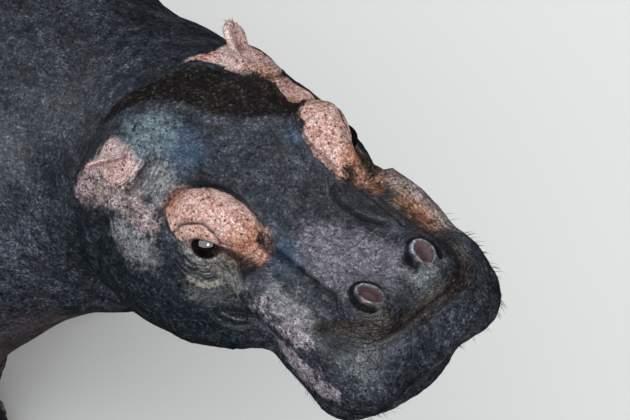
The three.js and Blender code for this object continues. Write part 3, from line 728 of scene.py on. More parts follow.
# the near temple's slits, drawn only as lines of painted shade
TEMPLE_SLITS = (
    Line(((-104, 72, 27), (-100, 85, 22), (-99, 96, 16), (-98, 106, 7), (-97, 113, -3)), RIGHT),
    Line(((-179, 64, 4), (-160, 72, 16), (-144, 80, 25)), RIGHT),
    Line(((-147, 52, 25), (-138, 69, 27), (-129, 87, 27)), RIGHT),
)
LID_BAND = Line(((2, 120, -44), (18, 114, -47), (34, 104, -40), (48, 91, -26)))
SCRATCHES = (
    Line(((130, -44, 25), (131, -4, 27), (129, 35, 28)), LEFT),
    Line(((149, -43, 28), (150, -6, 29), (154, 31, 31)), LEFT),
)
MARKINGS = {
    "rosy": (
        Blot((6, 86, 20), (60, 34, 38), -0.3),
        Blot((60, 76, 0), (9, 10, 14), sides=RIGHT),
        Blot((24, 78, 30), (40, 30, 30), sides=LEFT),
        CROWN_EDGE,
        Blot((-60, 104, 6), (32, 24, 24), sides=LEFT),
    ),
    "rusty": (
        Blot((46, 74, 14), (24, 22, 24)),
        Blot((-44, 92, 14), (18, 16, 20)),
        Blot((60, 80, 14), (30, 14, 16), sides=LEFT),
        Blot((132, 86, 10), (30, 9, 12), sides=LEFT),
        Blot((-110, 80, 24), (44, 16, 16), sides=LEFT),
    ),
    "umber": (CROWN_BAND,),
    # painted bluish sheen of the sky on the brows and the forehead
    "sky_sheen": (
        Blot((80, 58, 16), (22, 14, 16), sides=RIGHT),
        Blot((-14, 51, 31), (12, 8, 12), sides=LEFT),
        Blot((-86, 48, 27), (27, 25, 22), sides=RIGHT),
    ),
    # painted pale bluish sheen of the sky on the near crown
    "pale_sky_sheen": (Blot((-122, 62, 28), (28, 30, 22), sides=RIGHT),),
    "pale": (
        Blot((132, 24, 28), (58, 34, 26), sides=RIGHT),
        Blot((156, 6, 30), (36, 20, 24), sides=LEFT),
    ),
    "ridge": (CHEEK_RIDGE,),
    "brown": (
        Stroke(MUZZLE_BAND, Profile((0, 6), (0.15, 11), (0.4, 13), (0.7, 11), (1, 9))),
        Blot((208, 48, 26), (16, 20, 18), sides=RIGHT),
    ),
    "pallid": (
        Blot((108, 104, -10), (22, 10, 14)),
        Blot((148, 107, -4), (28, 11, 12), sides=RIGHT),
        Blot((136, 112, -34), (34, 12, 10)),
        Blot((186, 112, -40), (34, 12, 16)),
    ),
    "cream": (Stroke(LID_BAND, Profile((0, 3), (0.5, 3.6), (1, 3))),),
    # painted shade over the lower cheeks and the jaw
    "cheek_shade": (Blot((-50, 126, -108), (130, 60, 82)),),
    "dusky": (
        Blot((-66, 134, -40), (30, 20, 18)),
        Blot((34, 106, -20), (32, 14, 9), -0.3),
        Blot((128, 92, 4), (40, 12, 10), sides=RIGHT),
        Blot((-150, 128, 0), (30, 20, 20), sides=RIGHT),
        Blot((-84, 92, 14), (26, 24, 18), sides=RIGHT),
    ),
    "flushed": (
        Blot((-90, 120, -10), (44, 14, 14), sides=RIGHT),
        Blot((-126, 116, 0), (34, 32, 32), sides=RIGHT),
        Blot((-150, 128, -22), (24, 20, 30), sides=RIGHT),
    ),
    # painted shade in the clefts: behind the near brow, in the near temple's slits and in the two grooves
    "cleft_shade": (
        Stroke(BROW_SHADE, Profile((0, 0.8), (0.3, 4.4), (0.75, 4.2), (1, 0.8))),
        *(Stroke(slit, Profile((0, 0.2), (0.35, 1.9), (0.7, 1.3), (1, 0.2))) for slit in TEMPLE_SLITS),
        Stroke(CHEEK_GROOVE, Profile((0, 1.6), (0.5, 2.2), (1, 1.8))),
        Stroke(SNOUT_GROOVE, Profile((0, 1.8), (0.5, 2.0), (1, 0.6))),
    ),
    "scratch": (
        Stroke(SCRATCHES[0], Profile((0, 0.5), (0.5, 1.4), (1, 0.5))),
        Stroke(SCRATCHES[1], Profile((0, 0.4), (0.5, 1.2), (1, 0.4))),
    ),
}


@dataclass(frozen=True)
class FoldLines:
    """Fine wrinkles that run beside a line of the head."""

    line: Line
    reach: float
    pitch: float
    weight: float = 1.0


FINE_FOLDS = (
    FoldLines(SNOUT_GROOVE, 30, 2.1, 1.0),
    FoldLines(CHEEK_GROOVE, 12, 2.0, 0.5),
    FoldLines(LOWER_FOLDS[1], 15, 1.8, 0.9),
    FoldLines(MUZZLE_BAND, 26, 2.2, 0.8),
    FoldLines(MOUTH_CORNER, 18, 2.2, 0.6),
    FoldLines(EAR_FRONT, 26, 2.2, 0.7),
    FoldLines(BROW_RIM, 9, 1.8, 0.45),
)


# ---------------------------------------------------------------- work on meshes


def deselect_all() -> None:
    """Leaves nothing selected."""
    if bpy.context.object and bpy.context.object.mode != "OBJECT":
        bpy.ops.object.mode_set(mode="OBJECT")
    bpy.ops.object.select_all(action="DESELECT")


def take(piece: Thing) -> None:
    """Makes one object the only one selected, and active."""
    deselect_all()
    piece.select_set(True)
    bpy.context.view_layer.objects.active = piece


def read_rows(
    items: bpy.types.bpy_prop_collection, name: str, kind: type = np.float32, width: int = 3
) -> Array:
    """Reads one property of all the items of a mesh.

    Args:
        items: The mesh's vertices, edges, faces or corners.
        name: The property's name.
        kind: The type of its numbers.
        width: How many numbers an item has.

    Returns:
        A row for each item.
    """
    made = np.empty(len(items) * width, kind)
    items.foreach_get(name, made)
    return made.reshape(-1, width)


def places(mesh: Mesh) -> Array:
    """The mesh's vertices, one row each."""
    return read_rows(mesh.vertices, "co").astype(float)


def normals(mesh: Mesh) -> Array:
    """The mesh's vertex normals, one row each."""
    return read_rows(mesh.vertex_normals, "vector").astype(float)


def edge_ends(mesh: Mesh) -> Array:
    """The vertices at the edges' two ends, as two rows."""
    return read_rows(mesh.edges, "vertices", np.int64, 2).T


def set_places(mesh: Mesh, points: Array) -> None:
    """Moves the mesh's vertices."""
    mesh.vertices.foreach_set("co", points.astype(np.float32).ravel())
    mesh.update()


def keep_value(mesh: Mesh, name: str, values: Array) -> None:
    """Stores one number for each vertex, for the material to read."""
    layer = mesh.attributes.new(name, "FLOAT", "POINT")
    layer.data.foreach_set("value", values.astype(np.float32))


def relax(mesh: Mesh, share: Array, rounds: int) -> None:
    """Evens a surface out without letting it shrink.

    Args:
        mesh: The mesh to change.
        share: How much each vertex may move, 0 to 1.
        rounds: How many times each vertex is drawn to the mean of its neighbours and pushed back.
    """
    a, b = edge_ends(mesh)
    count = len(mesh.vertices)
    links = np.maximum(np.bincount(a, minlength=count) + np.bincount(b, minlength=count), 1)
    points = places(mesh)
    for _ in range(rounds):
        for pull in (0.55, -0.57):
            total = np.empty_like(points)
            for axis in range(3):
                column = points[:, axis]
                total[:, axis] = np.bincount(a, column[b], count) + np.bincount(b, column[a], count)
            points = points + (total / links[:, None] - points) * (share * pull)[:, None]
    set_places(mesh, points)


class Items(Enum):
    """What is selected of a mesh, by the name of the mesh's list of them."""

    POINTS = "vertices"
    EDGES = "edges"
    FACES = "polygons"


@contextmanager
def editing(piece: Thing, items: Items = Items.POINTS, chosen: Array | None = None) -> Iterator[None]:
    """Opens a piece for editing with some of it selected, and closes it again.

    Args:
        piece: The piece to edit.
        items: What is selected of it.
        chosen: Says for each item whether it is selected. All are where this is left out.

    Returns:
        The context in which the operators work.
    """
    take(piece)
    bpy.context.tool_settings.mesh_select_mode = tuple(items is kind for kind in Items)
    bpy.ops.object.mode_set(mode="EDIT")
    bpy.ops.mesh.select_all(action="SELECT" if chosen is None else "DESELECT")
    if chosen is not None:
        bpy.ops.object.mode_set(mode="OBJECT")
        getattr(piece.data, items.value).foreach_set("select", chosen)
        bpy.ops.object.mode_set(mode="EDIT")
    yield
    bpy.ops.object.mode_set(mode="OBJECT")


def turn_outwards(piece: Thing) -> None:
    """Makes the faces of a closed piece point outwards."""
    with editing(piece):
        bpy.ops.mesh.normals_make_consistent(inside=False)


def smooth(piece: Thing) -> None:
    """Shades a piece smoothly."""
    take(piece)
    bpy.ops.object.shade_smooth()


def apply_modifier(piece: Thing, kind: str, **settings: object) -> None:
    """Adds a modifier with its settings and applies it."""
    take(piece)
    modifier = piece.modifiers.new(kind.title(), kind)
    for name, value in settings.items():
        setattr(modifier, name, value)
    bpy.ops.object.modifier_apply(modifier=modifier.name)


def joined_copy(nodes: Sequence[str], name: str, swell: float) -> Thing:
    """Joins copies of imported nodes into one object, merged and swollen a little so that they meet.

    Args:
        nodes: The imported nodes, which stay as they are.
        name: The new object's name.
        swell: How far its faces move out, in metres.

    Returns:
        The new object.
    """
    deselect_all()
    for node in nodes:
        source = bpy.data.objects[node]
        copy = source.copy()
        copy.data = source.data.copy()
        copy.parent = None
        for key in [k for k in copy.keys() if k.startswith("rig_")]:
            del copy[key]
        bpy.context.scene.collection.objects.link(copy)
        copy.select_set(True)
        bpy.context.view_layer.objects.active = copy
    bpy.ops.object.join()
    piece = bpy.context.view_layer.objects.active
    piece.name = piece.data.name = name
    piece.data.materials.clear()
    with editing(piece):
        bpy.ops.mesh.remove_doubles(threshold=MERGED)
        bpy.ops.transform.shrink_fatten(value=swell)
    return piece


def islands(mesh: Mesh) -> Array:
    """Gives every vertex the lowest number found in its island."""
    a, b = edge_ends(mesh)
    label = np.arange(len(mesh.vertices))
    while True:
        lowest = np.minimum(label[a], label[b])
        found = label.copy()
        np.minimum.at(found, a, lowest)
        np.minimum.at(found, b, lowest)
        found = found[found]
        if (found == label).all():
            return label
        label = found


def drop_flakes(piece: Thing, fewest: int = 20) -> None:
    """Clears away what joining or remeshing solids leaves behind.

    Args:
        piece: The piece to clear.
        fewest: Islands of fewer points than this are deleted. Points on only two edges are dissolved.
    """
    island = islands(piece.data)
    with editing(piece, Items.POINTS, np.bincount(island)[island] < fewest):
        bpy.ops.mesh.delete(type="VERT")
    uses = np.bincount(edge_ends(piece.data).ravel(), minlength=len(piece.data.vertices))
    with editing(piece, Items.POINTS, uses == 2):
        bpy.ops.mesh.dissolve_verts()


def refine(piece: Thing, wanted: Callable[[Array], Array]) -> None:
    """Splits each face whose middle is wanted into four.

    Args:
        piece: The object whose faces are split.
        wanted: Says for face middles, in metres, which are split.
    """
    middles = read_rows(piece.data.polygons, "center").astype(float)
    with editing(piece, Items.FACES, wanted(middles)):
        bpy.ops.mesh.subdivide(number_cuts=1, quadcorner="INNERVERT")


def finish_piece(piece: Thing, nodes: Sequence[str], material: Material) -> None:
    """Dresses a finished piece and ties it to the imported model.

    Args:
        piece: The piece, in place.
        nodes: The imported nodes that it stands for.
        material: Its finish.
    """
    piece.data.materials.clear()
    piece.data.materials.append(material)
    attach(piece, "root")
    if nodes:
        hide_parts(*nodes)
    LOG.info("%s: %d vertices, %d faces", piece.name, len(piece.data.vertices), len(piece.data.polygons))


# ---------------------------------------------------------------- the ears


@dataclass(frozen=True)
class Ear:
    """One cupped ear, rolled at its root and open towards its tip. Millimetres, in the head's frame."""

    side: int
    along: Place
    open: Place
    root: Place = (-128.0, 84.0, 14.0)
    length: float = 54.0
    sunk: float = 0.24  # how far the root goes down into the head, as a share of the length
    thickness: float = 4.0
    half_width: Profile = Profile((-0.25, 12), (0, 13), (0.3, 17), (0.6, 18), (0.85, 12), (1.0, 4.0))
    curl: Profile = Profile((-0.25, 10), (0.1, 11), (0.5, 18), (1.0, 30))  # the radius it is rolled by
    mean_curl: float = 18.0
    dip: float = 6.5  # how far the cup's floor lies behind the line from root to tip
    bow: float = 4.0  # how far the tip and the root bend forwards again

    def axes(self) -> Array:
        """Rows: from root to tip, across, and the way the back faces away from the cup."""
        tipward = unit(self.along)
        across = unit(np.cross(self.open, tipward))
        return np.stack([tipward, across, np.cross(tipward, across)])

    def to_head(self, local: Array) -> Array:
        """Turns the ear's own places to the head's frame."""
        made = local @ self.axes() + np.array(self.root)
        made[:, 1] *= self.side
        return made

    def from_head(self, points: Array) -> Array:
        """Turns places in the head's frame to the ear's own."""
        made = points.copy()
        made[:, 1] *= self.side
        return (made - np.array(self.root)) @ self.axes().T

    def build(self, frame: HeadFrame) -> Thing:
        """Rolls a sheet into the ear's cup and gives it a rounded wall.

        Args:
            frame: Where the head stands.

        Returns:
            The ear as a closed shell in the model's frame.
        """
        deselect_all()
        bpy.ops.mesh.primitive_grid_add(x_subdivisions=26, y_subdivisions=16, size=2)
        piece = bpy.context.object
        piece.name = piece.data.name = f"ear_shell_{SIDE_NAMES[self.side]}"
        flat = places(piece.data)
        t = (flat[:, 0] + 1) / 2 * (1 + self.sunk) - self.sunk
        half, round_by = self.half_width(t), self.curl(t)
        angle = flat[:, 1] * half / round_by
        up = t * self.length + 2.0 * np.abs(flat[:, 1]) ** 2 * (1 - t)
        back = round_by * (1 - np.cos(angle)) - self.dip + self.bow * (t - 0.5) ** 2
        ridge = 1.6 * bell(flat[:, 1] + 0.35, 0.2)
        local = np.stack([up, round_by * np.sin(angle), back + ridge], axis=1)
        set_places(piece.data, frame.outwards(self.to_head(local)))
        apply_modifier(piece, "SOLIDIFY", thickness=self.thickness * MM, offset=0.0)
        apply_modifier(piece, "SUBSURF", levels=1, render_levels=1)
        turn_outwards(piece)
        return piece


EARS = (
    Ear(FACING_LEFT, (-0.4, 0, 0.91), (0.75, 0.57, 0.33)),
    Ear(FACING_RIGHT, (-0.08, 0.97, 0.22), (0.85, 0.1, -0.5)),
)


# ---------------------------------------------------------------- the skin


ALL_ROUND = (0.0, 0.0, 0.0)
IN_FRONT = (1.0, 0.0, 0.0)


@dataclass(frozen=True)
class Ring:
    """A soft fold round a limb or the neck, in the model's millimetres."""

    centre: Place
    axis: Place
    reach: float
    width: float
    depth: float
    side: Place = ALL_ROUND  # the way the fold is deepest

    def press(self, points: Array, lift: Array) -> None:
        """Adds the fold to the lift of each place, in millimetres."""
        offset = points - np.array(self.centre)
        axis = unit(self.axis)
        along = offset @ axis
        away = offset - along[:, None] * axis
        far = np.linalg.norm(away, axis=1)
        share = ramp(far, self.reach * 1.25, self.reach)
        if any(self.side):
            share = share * ramp((away / np.maximum(far, 1)[:, None]) @ unit(self.side), -0.35, 0.6)
        along = along + 0.12 * self.width * waves(points, 70, 5)
        shoulder = 0.4 * bell(np.abs(along) - 2 * self.width, self.width)
        lift += self.depth * share * (shoulder - bell(along, self.width))


@dataclass(frozen=True)
class FineAreas:
    """Where the skin is split finer: in metres at the feet and tail, in millimetres on the head."""

    foot_height: float = 0.1
    foot_reach: float = 0.12
    tail_reach: float = 0.03
    face_back: float = 16.0  # from the start of the neck
    face_low: float = -126.0
    eye: float = 40.0
    nostril: float = 28.0
    lid: float = 2.4  # each side of the lids' edge
    crease: float = 1.4  # each side of the lids' crease
    rim: tuple[float, float] = (-8.0, 3.0)  # from the nostril's edge


@dataclass
class Skin:
    """The whole hide in one piece, from muzzle to tail and down to the soles."""

    frame: HeadFrame
    form: HeadForm
    voxel: float = 0.0125
    clear: float = 0.0003  # how far the soles stay above the floor, in metres
    socket: EyeSocket = field(default_factory=EyeSocket)
    nostril: Nostril = field(default_factory=Nostril)
    fine: FineAreas = field(default_factory=FineAreas)
    neck_start: float = -168.0  # behind this line of the head's frame the skin follows the neck's solid
    jaw_fade: tuple[float, float] = (-232.0, -212.0)  # between these heights it turns to the head's form
    jaw_low: float = -235.0
    # painted shade of the grooves, lid edges, lip seam and nostril moats, 0 to 1
    groove_shade: Array = field(init=False)
    hollow: Array = field(init=False)

    def build(self, hide: Material) -> Thing:
        """Makes the skin and dresses it.

        Args:
            hide: The hide's material.

        Returns:
            The finished skin.
        """
        piece = joined_copy(FLESH + NAILS, "skin", 0.0009)
        apply_modifier(piece, "REMESH", mode="VOXEL", voxel_size=self.voxel, adaptivity=0.0)
        self.even_out(piece.data)
        self.refine_parts(piece)
        self.join_ears(piece)
        self.sculpt(piece.data)
        smooth(piece)
        self.mark(piece.data)
        finish_piece(piece, FLESH + ("ear_left", "ear_right"), hide)
        return piece

    def in_head(self, points: Array, back: float = 0.0) -> Array:
        """Says which places belong to the head."""
        local = self.frame.inwards(points)
        return (local[:, 0] > self.neck_start + back) & (local[:, 2] > self.jaw_low)

    def even_out(self, mesh: Mesh) -> None:
        """Takes the facets out of the barrel, the limbs and the feet."""
        points = places(mesh)
        share = np.where(points[:, 2] < 0.16, 0.5, 1.0)
        share[points[:, 0] < np.min(points[:, 0]) + 0.13] = 0.5
        relax(mesh, share, 30)

    def fit(self, mesh: Mesh, rounds: int) -> None:
        """Lays the head's vertices on its form, less and less towards the neck."""
        points = places(mesh)
        near = np.nonzero(self.in_head(points))[0]
        local = self.frame.inwards(points[near])
        share = ramp(local[:, 0], self.neck_start + 6, -98) * ramp(local[:, 2], *self.jaw_fade)
        fitted = self.form.settle(local, rounds)
        points[near] = self.frame.outwards(local + (fitted - local) * share[:, None])
        set_places(mesh, points)

    def refine_parts(self, piece: Thing) -> None:
        """Splits the faces where the form is fine: head, feet, tail, then nostrils and lids.

        Args:
            piece: The skin, which is settled on the form again after each round.
        """
        area = self.fine
        feet = [middle_of(f"foot_{foot}")[:2] for foot in FEET]
        tail_front = box_of("tail")[1][0] - area.tail_reach

        def fine(points: Array) -> Array:
            """Head, feet and tail."""
            low = points[:, 2] < area.foot_height
            from_foot = np.min([np.linalg.norm(points[:, :2] - foot, axis=1) for foot in feet], axis=0)
            return self.in_head(points) | (low & (from_foot < area.foot_reach)) | (points[:, 0] < tail_front)

        def face(points: Array) -> Array:
            """The head above the jaw."""
            return self.in_head(points, area.face_back) & (self.frame.inwards(points)[:, 2] > area.face_low)

        def close(points: Array) -> Array:
            """Round the eyes and nostrils."""
            folded = BOTH.fold(self.frame.inwards(points))
            eye = np.linalg.norm(folded - np.array(self.socket.centre), axis=1) < area.eye
            ahead = np.hypot(folded[:, 0] - self.nostril.centre[0], folded[:, 1] - self.nostril.centre[1])
            return eye | ((ahead < area.nostril) & (folded[:, 2] > 0))

        def edges(points: Array) -> Array:
            """The lids' edges, their crease and the nostrils' rims."""
            folded = BOTH.fold(self.frame.inwards(points))
            local, u, _, outside = self.socket.measure(folded)
            lid = (np.abs(outside) < area.lid) | (np.abs(outside - self.socket.crease(u)) < area.crease)
            lid &= (local[:, 2] > -8) & (np.linalg.norm(local, axis=1) < 50)
            _, _, beyond = self.nostril.measure(folded)
            rim = (beyond > area.rim[0]) & (beyond < area.rim[1]) & (folded[:, 2] > self.nostril.lowest)
            return lid | rim

        for wanted in (fine, face, close, edges):
            refine(piece, wanted)
            self.fit(piece.data, 2)
            LOG.info("refined to %d faces", len(piece.data.polygons))
        self.fit(piece.data, 2)

    def join_ears(self, piece: Thing) -> None:
        """Unites the ears with the head and softens the line where they meet.

        Args:
            piece: The skin, which is changed.
        """
        for ear in EARS:
            shell = ear.build(self.frame)
            apply_modifier(piece, "BOOLEAN", operation="UNION", solver="MANIFOLD", object=shell)
            bpy.data.objects.remove(shell)
        drop_flakes(piece)
        mesh = piece.data
        local = self.frame.inwards(places(mesh))
        share = np.zeros(len(local))
        for ear in EARS:
            own = ear.from_head(local)
            near = (np.hypot(own[:, 1], own[:, 2]) < 32) & (own[:, 0] < 26) & (own[:, 0] > -30)
            seam = bell(self.form.distance(local) + self.form.skin_depth, 3.6)
            share = np.maximum(share, np.where(near, seam, 0))
        relax(mesh, share, 6)

    def sculpt(self, mesh: Mesh) -> None:
        """Presses in the folds, shapes the lids and the nostrils, roughens the whole a little, and gathers
        the painted shade of the grooves.

        Args:
            mesh: The skin's mesh, which is changed.
        """
        points = places(mesh)
        out = normals(mesh)
        local = self.frame.inwards(points)
        lift = np.zeros(len(points))
        self.groove_shade = np.zeros(len(points))
        self.hollow = np.zeros(len(points))
        on_head = ramp(local[:, 0], self.neck_start, -100) * ramp(local[:, 2], *self.jaw_fade)
        for crease in HEAD_CREASES:
            crease.press(self.form, local, lift, self.groove_shade)
        seam = local[:, 2] - self.form.mouth(local[:, 0])
        lips = ramp(local[:, 0], 34, 60) * on_head * (np.abs(out @ self.frame.axes[2]) < 0.95)
        lift += lips * (1.4 * bell(np.abs(seam) - 8, 5) - 4.5 * bell(seam, 2.6))
        # painted shade along the seam between the lips
        self.groove_shade = np.maximum(self.groove_shade, 0.9 * lips * bell(seam, 2.2))
        lift += on_head * (0.8 * waves(local, 46, 3) + 0.28 * waves(local, 15, 4))
        cheeks = on_head * ramp(local[:, 2], 0, -30)
        lift += cheeks * 0.35 * waves(local * np.array([1.0, 1.0, 1.6]), 11, 8)
        self.press_body(points, lift, on_head)
        points = points + out * (lift * MM)[:, None]
        local = self.frame.inwards(points)
        shaped = self.socket.shape(local, self.groove_shade)
        shaped = self.nostril.shape(shaped, self.groove_shade, self.hollow)
        moved = np.any(shaped != local, axis=1)
        points[moved] = self.frame.outwards(shaped[moved])
        points[:, 2] = np.maximum(points[:, 2], self.clear)
        set_places(mesh, points)

    def press_body(self, points: Array, lift: Array, on_head: Array) -> None:
        """Folds of the neck, the groins, the knees and the ankles, and the hide's slow unevenness."""
        millimetres = points / MM
        for ring in self.rings():
            ring.press(millimetres, lift)
        body = 1 - on_head
        lift += body * (2.2 * waves(millimetres, 190, 11) + 0.8 * waves(millimetres, 62, 12))
        self.sink_nail_beds(millimetres, lift)
        legs = body * ramp(millimetres[:, 2], 330, 240)
        lift += legs * 0.5 * waves(millimetres * np.array([1.0, 1.0, 2.2]), 44, 13)

    def sink_nail_beds(self, points: Array, lift: Array) -> None:
        """Lets the skin in behind each toenail and swells it into a cuticle above."""
        low = np.nonzero(points[:, 2] < 60)[0]
        for nail in NAILS:
            corner, far = box_of(nail, MM)
            middle, half = (corner + far) / 2, (far - corner) / 2
            offset = (points[low] - middle) / (half + 1.0)
            within = ramp(np.max(np.abs(offset), axis=1), 1.15, 0.85)
            lift[low] -= 2.4 * within
            beside = ramp(np.max(np.abs(offset[:, :2]), axis=1), 1.2, 0.8)
            lift[low] += 1.8 * beside * bell(points[low][:, 2] - far[2] - 3.5, 3.0)

    def rings(self) -> list[Ring]:
        """The folds round neck, legs and tail root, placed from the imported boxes."""
        made = []
        neck_low, neck_high = box_of("neck", MM)
        front = self.frame.outwards(np.array([[-130.0, 0, -100]]))[0] / MM
        nape = np.array([neck_low[0] - 30, (neck_low[1] + neck_high[1]) / 2 + 10, front[2] - 190])
        axis = unit(front - nape)
        throat = (axis[2] * 0.6, 0.0, -0.8)
        for back, width, depth in ((18, 9, 5.0), (66, 12, 6.0), (120, 14, 5.5)):
            made.append(Ring(tuple(front - axis * back), tuple(axis), 210, width, depth, throat))
        for foot in FEET:
            middle = np.mean(box_of(f"foot_{foot}", MM), axis=0)
            knee = 0.3 if foot.startswith("front") else -0.25
            for height, width, depth, reach, lean, side in (
                (86, 3.5, 2.4, 78, 0.14, ALL_ROUND),
                (101, 4.5, 3.0, 78, -0.1, ALL_ROUND),
                (122, 5, 2.2, 78, -0.1, ALL_ROUND),
                (176, 7, 3.0, 92, knee, IN_FRONT),
                (206, 8, 2.4, 92, knee, IN_FRONT),
            ):
                spot = (middle[0], middle[1], height)
                made.append(Ring(spot, (lean, 0.0, 1.0), reach, width, depth, side))
        tail_low, tail_high = box_of("tail", MM)
        for drop, depth in ((70, 2.0), (100, 1.6), (130, 1.2)):
            middle = (tail_low[0] + 40, (tail_low[1] + tail_high[1]) / 2, tail_high[2] - drop)
            made.append(Ring(middle, (0.25, 0.0, 1.0), 46, 5, depth))
        return made

    def mark(self, mesh: Mesh) -> None:
        """Stores where each marking, painted shade, wrinkle and damp hollow lies, for the hide to read.

        Args:
            mesh: The finished skin's mesh.
        """
        points = places(mesh)
        local = self.frame.inwards(points)
        out = normals(mesh)
        for name, patches in MARKINGS.items():
            edge = np.full(len(points), UNMARKED)
            near = local[:, 0] > -260
            for patch in patches:
                edge[near] = smaller(edge[near], patch.edge(self.form, local[near]), 8)
            keep_value(mesh, name, np.clip(edge, -EDGE_LIMIT, EDGE_LIMIT))
        self.mark_wrinkles(mesh, local)
        self.mark_eyes(mesh, local)
        self.mark_ears(mesh, local)
        low = ramp(points[:, 2], 0.36, 0.2) * (local[:, 0] < -230) * ramp(points[:, 2], 0.02, 0.16)
        belly = np.clip(-out[:, 2], 0, 1) * (local[:, 0] < -190)
        keep_value(mesh, "underside", np.clip(0.75 * belly + 0.35 * low, 0, 1))
        keep_value(mesh, "sole", ramp(points[:, 2], 0.03, 0.006))
        on_top = local[:, 2] > self.nostril.lowest
        _, _, outside = self.nostril.measure(BOTH.fold(local))
        patchy = np.clip(0.72 + 0.28 * waves(local, 9, 17), 0, 1)
        keep_value(mesh, "nostril_rim", bell(outside - 2.6, 2.0) * patchy * on_top)
        lobe = np.hypot((local[:, 0] - 175) / 9.5, (local[:, 1] - 33) / 7.5)
        keep_value(mesh, "lobe", ramp(lobe, 1.15, 0.85) * on_top)
        # painted shade of the grooves, lid edges, lip seam and nostril moats
        keep_value(mesh, "groove_shade", self.groove_shade)
        keep_value(mesh, "matt", np.maximum(self.groove_shade, ramp(CROWN_BAND.edge(self.form, local), 4, -6)))
        keep_value(mesh, "hollow", self.hollow)

    def mark_wrinkles(self, mesh: Mesh, local: Array) -> None:
        """Stores the turns of the fine wrinkles and how strongly they show.

        Args:
            mesh: The skin's mesh.
            local: Its places in the head's frame.
        """
        turns, weight = np.zeros(len(local)), np.zeros(len(local))
        for fine in FINE_FOLDS:
            near, away, along = fine.line.measure(self.form, local, fine.reach)
            share = fine.weight * ramp(away, fine.reach, fine.reach * 0.35)
            share = share * ramp(along, 0, 0.12) * ramp(along, 1, 0.88)
            stronger = share > weight[near]
            turns[near[stronger]] = away[stronger] / fine.pitch
            weight[near[stronger]] = share[stronger]
        _, _, outside = self.nostril.measure(BOTH.fold(local))
        share = 0.3 * ramp(outside, 24, 12) * ramp(outside, 6, 10) * (local[:, 2] > 0)
        stronger = share > weight
        turns[stronger] = outside[stronger] / 3.3
        weight[stronger] = share[stronger]
        keep_value(mesh, "wrinkle_turns", turns)
        keep_value(mesh, "wrinkle_weight", weight)

    def mark_eyes(self, mesh: Mesh, local: Array) -> None:
        """Stores the bare rims of the lids, and the grey skin under the eye."""
        folded = BOTH.fold(local)
        own, _, v, outside = self.socket.measure(folded)
        near = (np.linalg.norm(own, axis=1) < 70) & (own[:, 2] > -12)
        rim = np.where(near, bell(outside - 0.3, 1.1) * ramp(v, -8, 3), 0)
        grey = np.where(near, ramp(outside, 12, 7) * ramp(v, 2, -4), 0)
        keep_value(mesh, "lid_rim", rim)
        keep_value(mesh, "lid_grey", grey)

    def mark_ears(self, mesh: Mesh, local: Array) -> None:
        """Stores the ears' outer skin and the bare skin in their cups."""
        whole, cup = np.zeros(len(local)), np.zeros(len(local))
        for ear in EARS:
            own = ear.from_head(local)
            t = own[:, 0] / ear.length
            near = (np.hypot(own[:, 1], own[:, 2]) < 27) & (t > -0.1) & (t < 1.1)
            whole = np.maximum(whole, np.where(near, ramp(t, 0.02, 0.3), 0))
            inside = ramp(np.abs(own[:, 1]) / np.maximum(ear.half_width(t), 1), 0.95, 0.6)
            round_by = ear.curl(t)
            sheet = round_by - np.sqrt(np.maximum(round_by**2 - own[:, 1] ** 2, 0))
            sheet = sheet - ear.dip + ear.bow * (t - 0.5) ** 2
            cup = np.maximum(cup, np.where(near, inside * ramp(own[:, 2] - sheet, 0.3, 1.4), 0))
        keep_value(mesh, "ear", whole)
        keep_value(mesh, "ear_cup", cup)


# ---------------------------------------------------------------- finishes


def fill(node: bpy.types.Node, inputs: dict[str | int, object]) -> None:
    """Links sockets to a node's inputs, or sets their values, by the inputs' names or numbers."""
    for key, value in inputs.items():
        if isinstance(value, Socket):
            node.id_data.links.new(value, node.inputs[key])
        else:
            node.inputs[key].default_value = value


def add_node(
    tree: Tree,
    kind: str,
    inputs: dict[str | int, object],
    output: str | int = 0,
    **settings: object,
) -> Socket:
    """Adds a node with its settings and links.

    Args:
        tree: The material's nodes.
        kind: The node's type, without the word that all of them start with.
        inputs: Sockets to link from, or values to set, by input name or number.
        output: The name or number of the output that is wanted.
        settings: The node's own properties.

    Returns:
        The wanted output.
    """
    node = tree.nodes.new("ShaderNode" + kind)
    for name, value in settings.items():
        setattr(node, name, value)
    fill(node, inputs)
    return node.outputs[output]


def spread_colours(ramped: Socket, colours: Sequence[str], low: float, high: float) -> None:
    """Lays colours evenly between two places of the colour ramp that has this output."""
    stops = ramped.node.color_ramp.elements
    for i, colour in enumerate(colours):
        place = low + (high - low) * i / (len(colours) - 1)
        stop = stops[i] if i < 2 else stops.new(place)
        stop.position = place
        stop.color = linear(colour)


def new_material(name: str) -> tuple[Material, Tree, bpy.types.Node]:
    """Makes a material and gives it, its nodes and its shader."""
    material = bpy.data.materials.new(name)
    material.use_nodes = True
    return material, material.node_tree, material.node_tree.nodes["Principled BSDF"]


def plain_material(name: str, colour: str, roughness: float, ior: float = 1.5) -> Material:
    """Makes a material of one colour."""
    material, _, shader = new_material(name)
    fill(shader, {"Base Color": linear(colour), "Roughness": roughness, "IOR": ior})
    return material


@dataclass(frozen=True)
class Wash:
    """A colouring that shows as strongly as its attribute says."""

    colours: tuple[str, ...]
    strength: float = 1.0

    def mask(self, value: Socket, grain: Socket) -> Socket:
        """How strongly it shows, from its attribute's value."""
        return add_node(value.node.id_data, "Math", {0: value, 1: self.strength}, operation="MULTIPLY")


